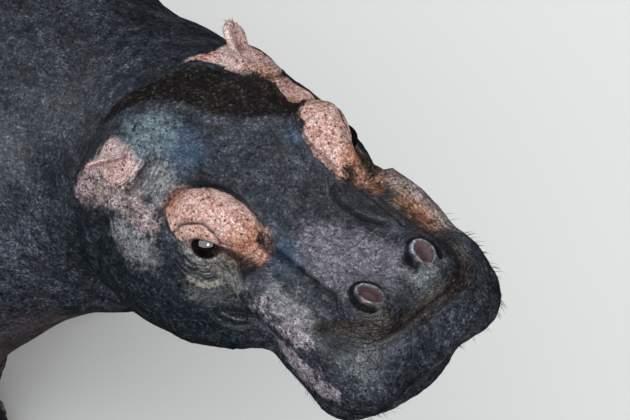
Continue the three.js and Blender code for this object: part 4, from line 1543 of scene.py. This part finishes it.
@dataclass(frozen=True)
class Paint:
    """A marking with an edge, whose attribute is the distance outside that edge in millimetres."""

    colours: tuple[str, ...]
    soft: float  # width of the edge, in millimetres
    ragged: float  # how far the grain moves the edge, in millimetres
    strength: float = 1.0

    def mask(self, value: Socket, grain: Socket) -> Socket:
        """How strongly it shows, from its attribute's value and the grain that moves its edge."""
        tree, middle = value.node.id_data, -2.5 * self.ragged
        stray = add_node(tree, "Math", {0: grain, 1: 2 * middle, 2: value}, operation="MULTIPLY_ADD")
        half = self.soft / 2
        span = {"From Min": middle + half, "From Max": middle - half, "To Max": self.strength}
        return add_node(tree, "MapRange", {"Value": stray, **span}, interpolation_type="SMOOTHSTEP")


@dataclass(frozen=True)
class WetHide:
    """Hippopotamus hide: bare slate-brown skin, blotched pink, finely creased and pored, with a wet film.

    The film gives crisp small glints over a soft sheen; painted shade darkens the pores and creases into dark
    dots and a net, and fills the grooves and the lower cheeks; a painted bluish sheen of the sky lies on the
    brows and the crown.
    """

    ground: tuple[str, ...] = ("#0d0f13", "#20232a", "#33373f", "#484c57", "#74767f")
    # the near black of the painted shade in creases, pores, wrinkles and grooves
    recess_shade: str = "#0a0a0d"
    blush: str = "#70565a"
    lid_edge: str = "#3a2a26"
    blotch: float = 55.0  # sizes in millimetres: slow clouds of colour
    patch: float = 12.0  # the pebbled blotches on a patch's edge
    grain: float = 3.2  # the unevenness inside a patch
    pore_gap: float = 4.9  # a slice through cells of this size shows a pore about every 7 mm
    pore: float = 1.25  # a pore's reach, drawn larger than the real one, which is too fine to show
    crease_gap: float = 2.5  # the net of creases, drawn coarser than the real 1 to 1.5 mm for the same reason
    fold_gap: float = 9.0  # the coarser net of folds over it
    fold_drift: float = 6.0  # how far the grain bends that net
    cloud: float = 0.45  # how much the slow clouds shift the shade
    pebble: float = 0.15  # how much the shade changes from one pebble of the net to the next

    @property
    def layers(self) -> dict[str, Wash | Paint]:
        """The colourings, by attribute, in the order they are laid on."""
        return {
            "sole": Wash(("#2a2523", "#3d3531")),
            "underside": Wash(("#5f4b48", "#7d635c", "#96776e")),
            # painted shade of the lower cheeks and the jaw
            "cheek_shade": Paint(("#080d12", "#131b22", "#222c33", "#434950"), 30, 8, 0.9),
            "pale": Paint(("#403f4a", "#63606c", "#7d7882", "#a0989f"), 26, 7, 0.9),
            # painted bluish sheen of the sky
            "sky_sheen": Paint(("#2a394b", "#3f5269", "#5d7188"), 32, 6, 0.85),
            # painted pale bluish sheen of the sky
            "pale_sky_sheen": Paint(("#43525b", "#6b7d85", "#939fa4"), 28, 7, 0.85),
            "dusky": Paint(("#404044", "#747377", "#929093", "#aaa7aa"), 22, 8, 0.85),
            "flushed": Paint(("#4a3f42", "#8c7878", "#b79f9e", "#dac5c1"), 20, 8, 0.92),
            "brown": Paint(("#0c0908", "#1d1713", "#312721", "#54463c"), 8, 5, 0.92),
            "ridge": Paint(("#3b312d", "#75625b", "#9d867d", "#c6b6ae"), 7, 3, 0.9),
            "pallid": Paint(("#4d494e", "#94888f", "#c9bac4"), 6, 5, 0.8),
            "rosy": Paint(("#8f5748", "#c28b79", "#dcb0a2", "#e2bcb3", "#f2dad4"), 2.5, 2.5),
            "rusty": Paint(("#5a2a14", "#98572f", "#c4835b", "#dcac8f"), 16, 5, 0.7),
            "umber": Paint(("#040303", "#0b0807", "#15100d", "#261c16", "#4f473f"), 2, 5, 0.97),
            "cream": Paint(("#7d7566", "#b3aa99", "#c9c0b0"), 3, 1.5, 0.65),
            # painted shade of the clefts
            "cleft_shade": Paint(("#060505", "#0c0a09", "#1c1815"), 2, 1.4, 0.93),
            "scratch": Paint(("#8d8287", "#b9adb4"), 1.6, 0.1, 0.7),
            "lid_grey": Wash(("#57544f", "#8f8a84", "#bfbab2"), 0.85),
            "nostril_rim": Wash(("#5b5458", "#908689", "#c9c2bd"), 0.8),
            "lobe": Wash(("#7f8c9c", "#a3b0c0", "#ccd3da"), 0.9),
            "ear": Wash(("#b08b83", "#e6c4bb", "#f6e4de")),
            "ear_cup": Wash(("#94686a", "#c9a09a", "#e2c0ba"), 0.9),
        }

    def build(self) -> Material:
        """Makes the hide's material."""
        material, tree, shader = new_material("wet_hippopotamus_hide")
        spot = add_node(tree, "TexCoord", {}, "Object")
        blotch, patch, grain = (
            add_node(
                tree,
                "TexNoise",
                {"Vector": spot, "Scale": METRE / size, "Detail": detail, "Roughness": rough},
            )
            for size, detail, rough in ((self.blotch, 4, 0.6), (self.patch, 5, 0.68), (self.grain, 3, 0.7))
        )
        half = add_node(tree, "Math", {0: grain, 1: 0.5}, operation="MULTIPLY")
        mixed = add_node(tree, "Math", {0: patch, 1: 0.5, 2: half}, operation="MULTIPLY_ADD")
        pebbles = add_node(tree, "TexVoronoi", {"Vector": spot, "Scale": METRE / self.crease_gap}, "Color")
        shade = add_node(tree, "SeparateColor", {0: pebbles})
        lower = add_node(tree, "Math", {0: mixed, 1: self.pebble / 2}, operation="SUBTRACT")
        toned = add_node(tree, "Math", {0: shade, 1: self.pebble, 2: lower}, operation="MULTIPLY_ADD")
        colour = self.lay_colours(tree, blotch, patch, toned)
        colour, height = self.pit(tree, spot, patch, grain.node.outputs["Color"], mixed, colour)
        relief, film_relief = (
            add_node(tree, "Bump", {"Height": height, "Distance": MM, "Strength": strength})
            for strength in (1.0, 0.45)
        )
        worn = {"Value": mixed, "From Min": 0.3, "From Max": 0.7, "To Min": 0.34, "To Max": 0.6}
        matt = add_node(tree, "Attribute", {}, "Fac", attribute_name="matt")
        wet = add_node(tree, "MapRange", {"Value": matt, "To Min": 0.7, "To Max": 0.0})
        fill(shader, {"Base Color": colour, "Roughness": add_node(tree, "MapRange", worn), "Normal": relief})
        fill(shader, {"Coat Weight": wet, "Coat Roughness": 0.08, "Coat Normal": film_relief})
        fill(shader, {"IOR": 1.4, "Specular IOR Level": 0.2})
        return material

    def lay_colours(self, tree: Tree, blotch: Socket, patch: Socket, toned: Socket) -> Socket:
        """Lays the ground colour and then each marking, painted shade and painted sky sheen over it.

        Args:
            tree: The material's nodes.
            blotch: The slow clouds.
            patch: The blotches that move the markings' edges.
            toned: The shade that each layer's colours run along.

        Returns:
            The colour's socket.
        """
        cloud = {0: blotch, 1: self.cloud, 2: -0.5 * self.cloud}
        shift = add_node(tree, "Math", cloud, operation="MULTIPLY_ADD")
        along = add_node(tree, "Math", {0: toned, 1: shift}, operation="ADD")
        colour = add_node(tree, "ValToRGB", {"Fac": along})
        spread_colours(colour, self.ground, 0.34, 0.7)
        for name, layer in self.layers.items():
            mask = layer.mask(add_node(tree, "Attribute", {}, "Fac", attribute_name=name), patch)
            tint = add_node(tree, "ValToRGB", {"Fac": toned})
            spread_colours(tint, layer.colours, 0.36, 0.64)
            colour = add_node(tree, "Mix", {0: mask, 6: colour, 7: tint}, 2, data_type="RGBA")
        return colour

    def pit(
        self,
        tree: Tree,
        spot: Socket,
        patch: Socket,
        drift: Socket,
        mixed: Socket,
        colour: Socket,
    ) -> tuple[Socket, Socket]:
        """Adds pores, the two nets of creases and wrinkles, all darkened with painted shade, the painted
        shade of the grooves, and flushed hollows.

        Args:
            tree: The material's nodes.
            spot: Places on the object.
            patch: The blotches that bend the wrinkles.
            drift: A colour that bends the coarser net.
            mixed: The unevenness of the whole.
            colour: The colour so far.

        Returns:
            The finished colour and the height of the surface in millimetres.
        """
        pores = add_node(tree, "TexVoronoi", {"Vector": spot, "Scale": METRE / self.pore_gap})
        chance = add_node(tree, "SeparateColor", {0: pores.node.outputs["Color"]})
        size = self.pore / self.pore_gap
        away = add_node(tree, "Math", {0: chance, 1: 0.8 * size, 2: pores}, operation="MULTIPLY_ADD")
        drift = add_node(tree, "VectorMath", {0: drift, "Scale": self.fold_drift * MM}, operation="SCALE")
        moved = add_node(tree, "VectorMath", {0: spot, 1: drift}, operation="ADD")
        net, folds = (
            add_node(tree, "TexVoronoi", {"Vector": way, "Scale": METRE / gap}, feature="DISTANCE_TO_EDGE")
            for way, gap in ((spot, self.crease_gap), (moved, self.fold_gap))
        )
        turns, weight, groove_shade, hollow, lid_rim = (
            add_node(tree, "Attribute", {}, "Fac", attribute_name=name)
            for name in ("wrinkle_turns", "wrinkle_weight", "groove_shade", "hollow", "lid_rim")
        )
        bent = add_node(tree, "Math", {0: patch, 1: 4.2, 2: turns}, operation="MULTIPLY_ADD")
        folded = add_node(tree, "Math", {0: bent, 1: 1.0}, operation="PINGPONG")
        pore, crease, fold, trough = (
            add_node(
                tree,
                "MapRange",
                {"Value": source, "From Min": nothing, "From Max": full},
                interpolation_type="SMOOTHSTEP",
            )
            for source, nothing, full in (
                (away, size * 1.45, size * 0.8),
                (net, 0.16, 0.02),
                (folds, 0.07, 0.01),
                (folded, 0.42, 0.06),
            )
        )
        wrinkle = add_node(tree, "Math", {0: trough, 1: weight}, operation="MULTIPLY")
        # painted shade darkens the crease nets, the pores, the wrinkle troughs and the grooves; the nostril
        # pits and the lids' rims take their own colours
        for mask, strength, tint in (
            (crease, 0.5, self.recess_shade),
            (fold, 0.32, self.recess_shade),
            (pore, 0.85, self.recess_shade),
            (wrinkle, 0.72, self.recess_shade),
            (hollow, 0.9, self.blush),
            (lid_rim, 0.75, self.lid_edge),
            (groove_shade, 0.95, self.recess_shade),
        ):
            share = add_node(tree, "Math", {0: mask, 1: strength}, operation="MULTIPLY")
            colour = add_node(tree, "Mix", {0: share, 6: colour, 7: linear(tint)}, 2, data_type="RGBA")
        height = add_node(tree, "Math", {0: mixed, 1: 2.4}, operation="MULTIPLY")
        for source, depth in ((crease, -0.16), (fold, -0.35), (pore, -0.45), (wrinkle, -0.75)):
            height = add_node(tree, "Math", {0: source, 1: depth, 2: height}, operation="MULTIPLY_ADD")
        return colour, height


@dataclass(frozen=True)
class WetEye:
    """A cornea over a dark brown iris: nearly black, with one clear mirror-like glint of the sky."""

    pupil: str = "#030204"
    iris: str = "#120b08"
    ring: str = "#0a0708"
    white: str = "#1d1613"

    def build(self) -> Material:
        """Makes the eyeballs' material."""
        material, tree, shader = new_material("wet_cornea_over_dark_iris")
        outward = add_node(tree, "Attribute", {}, "Fac", attribute_name="from_gaze")
        tint = add_node(tree, "ValToRGB", {"Fac": outward})
        stops = tint.node.color_ramp.elements
        stops[0].position, stops[0].color = 0.28, linear(self.pupil)
        stops[1].position, stops[1].color = 0.34, linear(self.iris)
        for place, colour in ((0.66, self.iris), (0.74, self.ring), (0.84, self.white)):
            stops.new(place).color = linear(colour)
        fill(shader, {"Base Color": tint, "Roughness": 0.035, "IOR": 1.52})
        fill(shader, {"Coat Weight": 1.0, "Coat Roughness": 0.03, "Coat IOR": 1.5})
        return material


@dataclass(frozen=True)
class Horn:
    """Toenail horn: worn keratin with lengthwise growth lines and a satin finish all over."""

    colours: tuple[str, ...] = ("#2e2823", "#4c443c", "#6d6256", "#8c8070")
    line_gap: float = 1.6  # millimetres between growth lines

    def build(self) -> Material:
        """Makes the toenails' material."""
        material, tree, shader = new_material("worn_toenail_keratin")
        spot = add_node(tree, "TexCoord", {}, "Object")
        drawn = add_node(tree, "Mapping", {"Vector": spot, "Scale": (1.0, 1.0, 0.14)})
        fine = {"Vector": drawn, "Scale": METRE / self.line_gap / 3, "Detail": 4, "Roughness": 0.6}
        grain = add_node(tree, "TexNoise", fine)
        tint = add_node(tree, "ValToRGB", {"Fac": grain})
        spread_colours(tint, self.colours, 0.34, 0.68)
        relief = add_node(tree, "Bump", {"Height": grain, "Distance": 0.0012, "Strength": 0.8})
        fill(shader, {"Base Color": tint, "Normal": relief, "Roughness": 0.42, "IOR": 1.54})
        return material


@dataclass(frozen=True)
class Bristle:
    """Stiff keratin bristle: near black, with a narrow sheen along its length."""

    name: str = "stiff_dark_bristle"
    colour: str = "#15100d"

    def build(self) -> Material:
        """Makes the bristles' material."""
        return plain_material(self.name, self.colour, 0.38, 1.55)


# ---------------------------------------------------------------- eyes, toenails and bristles


@dataclass(frozen=True)
class Eyeballs:
    """The two eyeballs, each with its cornea standing a little proud."""

    frame: HeadFrame
    socket: EyeSocket
    radius: float = 17.9
    cornea: float = 1.0
    cornea_reach: float = 10.5
    pupil_shape: float = 0.72  # its height against its width

    def build(self, cornea: Material) -> None:
        """Makes both eyeballs and dresses them.

        Args:
            cornea: Their material.
        """
        for side, name in SIDE_NAMES.items():
            deselect_all()
            bpy.ops.mesh.primitive_uv_sphere_add(segments=48, ring_count=32, radius=self.radius)
            ball = bpy.context.object
            ball.name = ball.data.name = f"eyeball_{name}"
            own = places(ball.data)
            away = np.hypot(own[:, 0], own[:, 1])
            own *= (1 + self.cornea / self.radius * bell(away, self.cornea_reach) * (own[:, 2] > 0))[:, None]
            flat = np.hypot(own[:, 0], own[:, 1] / self.pupil_shape)
            round_share = ramp(away, 3.5, 9)
            outward = (flat * (1 - round_share) + away * round_share) / self.radius
            keep_value(ball.data, "from_gaze", np.where(own[:, 2] > 0, outward, 1.0))
            head = own @ self.socket.axes() + np.array(self.socket.centre)
            head[:, 1] *= side
            set_places(ball.data, self.frame.outwards(head))
            turn_outwards(ball)
            smooth(ball)
            finish_piece(ball, (f"eye_{name}",), cornea)


@dataclass(frozen=True)
class Toenails:
    """The four blunt nails of each foot, in one piece."""

    voxel: float = 0.0024
    clear: float = 0.0004  # how far they stay above the floor, in metres

    def build(self, horn: Material) -> None:
        """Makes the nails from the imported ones, rounded by wear."""
        piece = joined_copy(NAILS, "toenails", 0.0006)
        apply_modifier(piece, "REMESH", mode="VOXEL", voxel_size=self.voxel, adaptivity=0.0)
        drop_flakes(piece)
        relax(piece.data, np.full(len(piece.data.vertices), 0.9), 10)
        points = places(piece.data)
        points[:, 2] = np.maximum(points[:, 2], self.clear)
        set_places(piece.data, points)
        smooth(piece)
        finish_piece(piece, NAILS, horn)


@dataclass(frozen=True)
class Growth:
    """Where one kind of bristle grows, and how it stands."""

    count: int
    shortest: float  # millimetres
    longest: float
    thickness: float
    stand: float  # 0 lies along the skin, 1 stands straight up
    lie: Place  # which way it lies, in the model's frame
    share: Callable[[Array, Array], Array]  # from model metres and head millimetres
    soft: bool = False  # whether it takes the softer, paler finish


@dataclass
class Bristles:
    """Sparse stiff bristles, each a thin three-sided spike with a slight bend."""

    head: HeadFrame
    form: HeadForm
    skin: Thing
    root_depth: float = 1.2
    patch: float = 0.003  # each bristle's patch on the unwrap

    def growths(self) -> dict[str, Growth]:
        """The kinds of bristle."""
        forward = tuple(self.head.axes[0])
        outward = tuple(self.head.axes[0] * 0.8 + self.head.axes[2] * 0.2)
        tail_low, _ = box_of("tail")

        def muzzle(points: Array, local: Array) -> Array:
            """The lips' front and sides."""
            low = ramp(local[:, 2], -128, -60) * ramp(local[:, 2], 12, -14)
            return low * ramp(local[:, 0], 96, 190) * (0.25 + 0.75 * ramp(np.abs(local[:, 1]), 20, 70))

        def brow(points: Array, local: Array) -> Array:
            """A tuft ahead of each brow."""
            folded = BOTH.fold(local)
            return (Ellipsoid((53, 60, 20), (9, 8, 9)).distance(folded) < 0) * 1.0

        def crown(points: Array, local: Array) -> Array:
            """The dark band over the crown."""
            return ramp(CROWN_BAND.edge(self.form, local), 2, -8)

        def ears(points: Array, local: Array) -> Array:
            """The ears' edges."""
            made = np.zeros(len(local))
            for ear in EARS:
                own = ear.from_head(local)
                t = own[:, 0] / ear.length
                edge = np.abs(own[:, 1]) > 0.82 * ear.mean_curl * np.sin(ear.half_width(t) / ear.mean_curl)
                made[(t > 0.1) & (t < 1.1) & edge & (np.hypot(own[:, 1], own[:, 2]) < 24)] = 1
            return made

        def tail(points: Array, local: Array) -> Array:
            """The tail's lower end."""
            behind = points[:, 0] < tail_low[0] + 0.05
            return ramp(points[:, 2], tail_low[2] + 0.075, tail_low[2] + 0.01) * behind

        return {
            "muzzle_bristles": Growth(340, 5, 13, 0.34, 0.6, forward, muzzle),
            "brow_bristles": Growth(150, 6, 12, 0.42, 0.5, outward, brow),
            "crown_bristles": Growth(900, 4, 8, 0.4, 0.2, forward, crown),
            "ear_bristles": Growth(360, 3, 6, 0.22, 0.5, (0.2, 0.0, 1.0), ears, soft=True),
            "tail_bristles": Growth(420, 14, 34, 0.55, 0.25, (-0.1, 0.0, -1.0), tail),
        }

    def spike(self) -> tuple[Array, list[list[int]]]:
        """Models one spike: its corners, and its faces."""
        deselect_all()
        bpy.ops.mesh.primitive_cylinder_add(vertices=3, radius=1, depth=1, location=(0, 0, 0.5))
        stem = bpy.context.object
        bpy.ops.object.transform_apply(location=True)
        low, high = (places(stem.data)[ends, 2] for ends in edge_ends(stem.data))
        with editing(stem, Items.EDGES, np.abs(high - low) > 0.5):
            bpy.ops.mesh.subdivide(number_cuts=2)
        corners = places(stem.data)
        corners[:, :2] *= (1 - 0.88 * corners[:, 2:] ** 1.5)
        faces = [list(face.vertices) for face in stem.data.polygons]
        bpy.data.objects.remove(stem)
        return corners, faces

    def build(self, stiff: Material, soft: Material) -> None:
        """Grows every kind and dresses it.

        Args:
            stiff: The material of the stiff bristles.
            soft: The material of the ears' softer hair.
        """
        points = places(self.skin.data)
        out = normals(self.skin.data)
        local = self.head.inwards(points)
        corners, faces = self.spike()
        for number, (name, growth) in enumerate(self.growths().items()):
            draw = np.random.default_rng(40 + number)
            share = growth.share(points, local)
            roots = draw.choice(len(points), growth.count, p=share / share.sum())
            material = soft if growth.soft else stiff
            self.grow(name, growth, points[roots], out[roots], corners, faces, draw, material)

    def grow(
        self,
        name: str,
        growth: Growth,
        roots: Array,
        out: Array,
        corners: Array,
        faces: list[list[int]],
        draw: np.random.Generator,
        material: Material,
    ) -> None:
        """Plants copies of the spike and joins them into one piece.

        Args:
            name: The piece's name.
            growth: How these bristles stand.
            roots: Where each grows, in metres.
            out: The skin's normal at each root.
            corners: One spike's corners.
            faces: One spike's faces.
            draw: The source of chance.
            material: Their finish.
        """
        count = len(roots)
        lie = np.array(growth.lie) + draw.normal(0, 0.16, (count, 3))
        lie -= out * (lie * out).sum(axis=1)[:, None]
        lie /= np.maximum(np.linalg.norm(lie, axis=1), 1e-6)[:, None]
        way = lie * (1 - growth.stand) + out * (growth.stand + draw.normal(0, 0.08, (count, 1)))
        way /= np.linalg.norm(way, axis=1)[:, None]
        across = np.cross(way, lie + draw.normal(0, 0.3, (count, 3)))
        across /= np.linalg.norm(across, axis=1)[:, None]
        third = np.cross(way, across)
        length = draw.uniform(growth.shortest, growth.longest, count) * MM
        t = corners[:, 2]
        made = roots[:, None] - out[:, None] * self.root_depth * MM
        made = made + way[:, None] * (t[None, :] * length[:, None])[:, :, None]
        made = made + lie[:, None] * (0.22 * t[None, :] ** 2 * length[:, None])[:, :, None]
        thick = growth.thickness * MM
        section = across[:, None] * corners[None, :, :1] + third[:, None] * corners[None, :, 1:2]
        made = made + thick * section
        shift = len(corners)
        polygons = [[i + k * shift for i in face] for k in range(count) for face in faces]
        mesh = bpy.data.meshes.new(name)
        mesh.from_pydata(made.reshape(-1, 3).tolist(), [], polygons)
        unwrap = mesh.uv_layers.new(name="OFBake")
        loops = read_rows(mesh.loops, "vertex_index", np.int64, 1)[:, 0]
        spread = self.unrolled(roots)[loops // shift]
        own = corners[loops % shift]
        spread += self.patch * np.stack([own[:, 0] * 0.5 + 0.5, own[:, 2]], axis=1) - self.patch / 2
        unwrap.data.foreach_set("uv", spread.astype(np.float32).ravel())
        piece = bpy.data.objects.new(name, mesh)
        bpy.context.scene.collection.objects.link(piece)
        turn_outwards(piece)
        smooth(piece)
        finish_piece(piece, (), material)

    @staticmethod
    def unrolled(roots: Array) -> Array:
        """Where each root lies on the skin unrolled round the animal's long axis, 0 to 1 each way."""
        low, high = (np.array(c) for c in CAD_BOX)
        ahead = (roots[:, 0] - low[0]) / (high[0] - low[0])
        round_about = np.arctan2(roots[:, 1], roots[:, 2] - 0.55 * high[2]) / (2 * math.pi) + 0.5
        return np.stack([0.01 + 0.98 * ahead, 0.01 + 0.98 * round_about], axis=1)


# ---------------------------------------------------------------- studio and main


class LampKind(Enum):
    """What gives the light."""

    SUN = "SUN"
    PANEL = "AREA"


class Seen(Enum):
    """Which surfaces a lamp shows on."""

    BY_ALL = "all"
    BY_MATT = "all but reflections"
    BY_GLOSS = "reflections alone"


@dataclass(frozen=True)
class Lamp:
    """One light of the studio, turned towards the animal."""

    name: str
    kind: LampKind
    place: Place
    size: float  # metres across, or the sun's angle in degrees
    power: float
    seen: Seen = Seen.BY_ALL


LAMPS = (
    Lamp("sky", LampKind.SUN, (0.97, -2.6, 3.5), 95, 3.5, Seen.BY_MATT),
    Lamp("window", LampKind.PANEL, (0.97, -2.33, 3.29), 8.0, 170, Seen.BY_GLOSS),
    Lamp("glint", LampKind.PANEL, (2.1, -2.2, 3.3), 0.7, 45, Seen.BY_GLOSS),
    Lamp("sparkle", LampKind.PANEL, (1.6, 1.8, 3.6), 0.4, 9, Seen.BY_GLOSS),
    Lamp("far_side", LampKind.PANEL, (1.4, 3.0, 3.2), 2.0, 40),
    Lamp("rear", LampKind.PANEL, (-3.4, 0.8, 3.0), 2.4, 45),
)


@dataclass(frozen=True)
class Studio:
    """A pale floor, soft light from above and a camera looking down on the head."""

    frame: HeadFrame
    turn: float = 21.4  # degrees to the animal's right of straight behind
    height: float = 55.0  # degrees down
    distance: float = 3.677
    lens: float = 200.0
    aim_right: float = 0.0462
    aim_down: float = 0.0252

    def build(self) -> None:
        """Makes the camera, floor and lights."""
        self.add_camera()
        self.add_floor()
        self.add_lights()
        bpy.context.scene.view_settings.view_transform = "Standard"

    def look(self) -> Array:
        """The way the camera looks."""
        turn, height = math.radians(self.turn), math.radians(self.height)
        return np.array(
            [-math.sin(turn) * math.cos(height), math.cos(turn) * math.cos(height), -math.sin(height)]
        )

    def add_camera(self) -> None:
        """Makes the scene's camera."""
        look = self.look()
        right = np.array([math.cos(math.radians(self.turn)), math.sin(math.radians(self.turn)), 0.0])
        up = np.cross(right, look)
        target = self.frame.origin + right * self.aim_right - up * self.aim_down
        deselect_all()
        bpy.ops.object.camera_add(location=tuple(target - look * self.distance))
        camera = bpy.context.object
        camera.name = "camera"
        camera.rotation_euler = Vector(look).to_track_quat("-Z", "Y").to_euler()
        camera.data.lens = self.lens
        camera.data.sensor_width = 36.0
        camera.data.dof.use_dof = False
        camera.data.clip_end = 100.0
        bpy.context.scene.camera = camera

    def add_floor(self) -> None:
        """Lays the floor, a dark card that only reflections show, and the pale room round them."""
        floor = self.lay_sheet("floor", 0.0, "pale_matt_floor", "#c9c8c4")
        floor.visible_glossy = False
        card = self.lay_sheet("dark_card", -0.01, "dark_matt_card", "#20262b")
        card.visible_camera = card.visible_diffuse = card.visible_shadow = False
        world = bpy.data.worlds.new("pale_room")
        bpy.context.scene.world = world
        world.use_nodes = True
        fill(world.node_tree.nodes["Background"], {"Color": linear("#e4e8ec"), "Strength": 0.5})
        world.cycles_visibility.glossy = False

    @staticmethod
    def lay_sheet(name: str, height: float, finish: str, colour: str) -> Thing:
        """Lays a wide matt sheet.

        Args:
            name: Its name.
            height: How high it lies, in metres.
            finish: Its material's name.
            colour: Its colour.

        Returns:
            The sheet.
        """
        deselect_all()
        bpy.ops.mesh.primitive_plane_add(size=400, location=(0, 0, height))
        sheet = bpy.context.object
        sheet.name = name
        sheet.data.materials.append(plain_material(finish, colour, 0.9))
        return sheet

    def add_lights(self) -> None:
        """Hangs the soft lights."""
        for lamp in LAMPS:
            deselect_all()
            bpy.ops.object.light_add(type=lamp.kind.value, location=lamp.place)
            light = bpy.context.object
            light.name = lamp.name
            light.visible_camera = False
            light.visible_glossy = lamp.seen is not Seen.BY_MATT
            light.visible_diffuse = lamp.seen is not Seen.BY_GLOSS
            if lamp.kind is LampKind.SUN:
                light.data.angle = math.radians(lamp.size)
            else:
                light.data.shape = "RECTANGLE"
                light.data.size = lamp.size
                light.data.size_y = min(lamp.size, 2.6)
            light.data.energy = lamp.power
            light.data.color = (0.93, 0.97, 1.0)
            aim = Vector((0.4, -0.05, 0.6)) - light.location
            light.rotation_euler = aim.to_track_quat("-Z", "Y").to_euler()


def main() -> None:
    """Builds the animal piece by piece, then the studio round it."""
    logging.basicConfig(level=logging.INFO, format="%(name)s: %(message)s")
    head = HeadFrame.between_eyes()
    skin = Skin(head, HeadForm())
    hide = skin.build(WetHide().build())
    Eyeballs(head, skin.socket).build(WetEye().build())
    Toenails().build(Horn().build())
    Bristles(head, skin.form, hide).build(Bristle().build(), Bristle("soft_rufous_hair", "#7a5648").build())
    Studio(head).build()


if __name__ == "__main__":
    main()
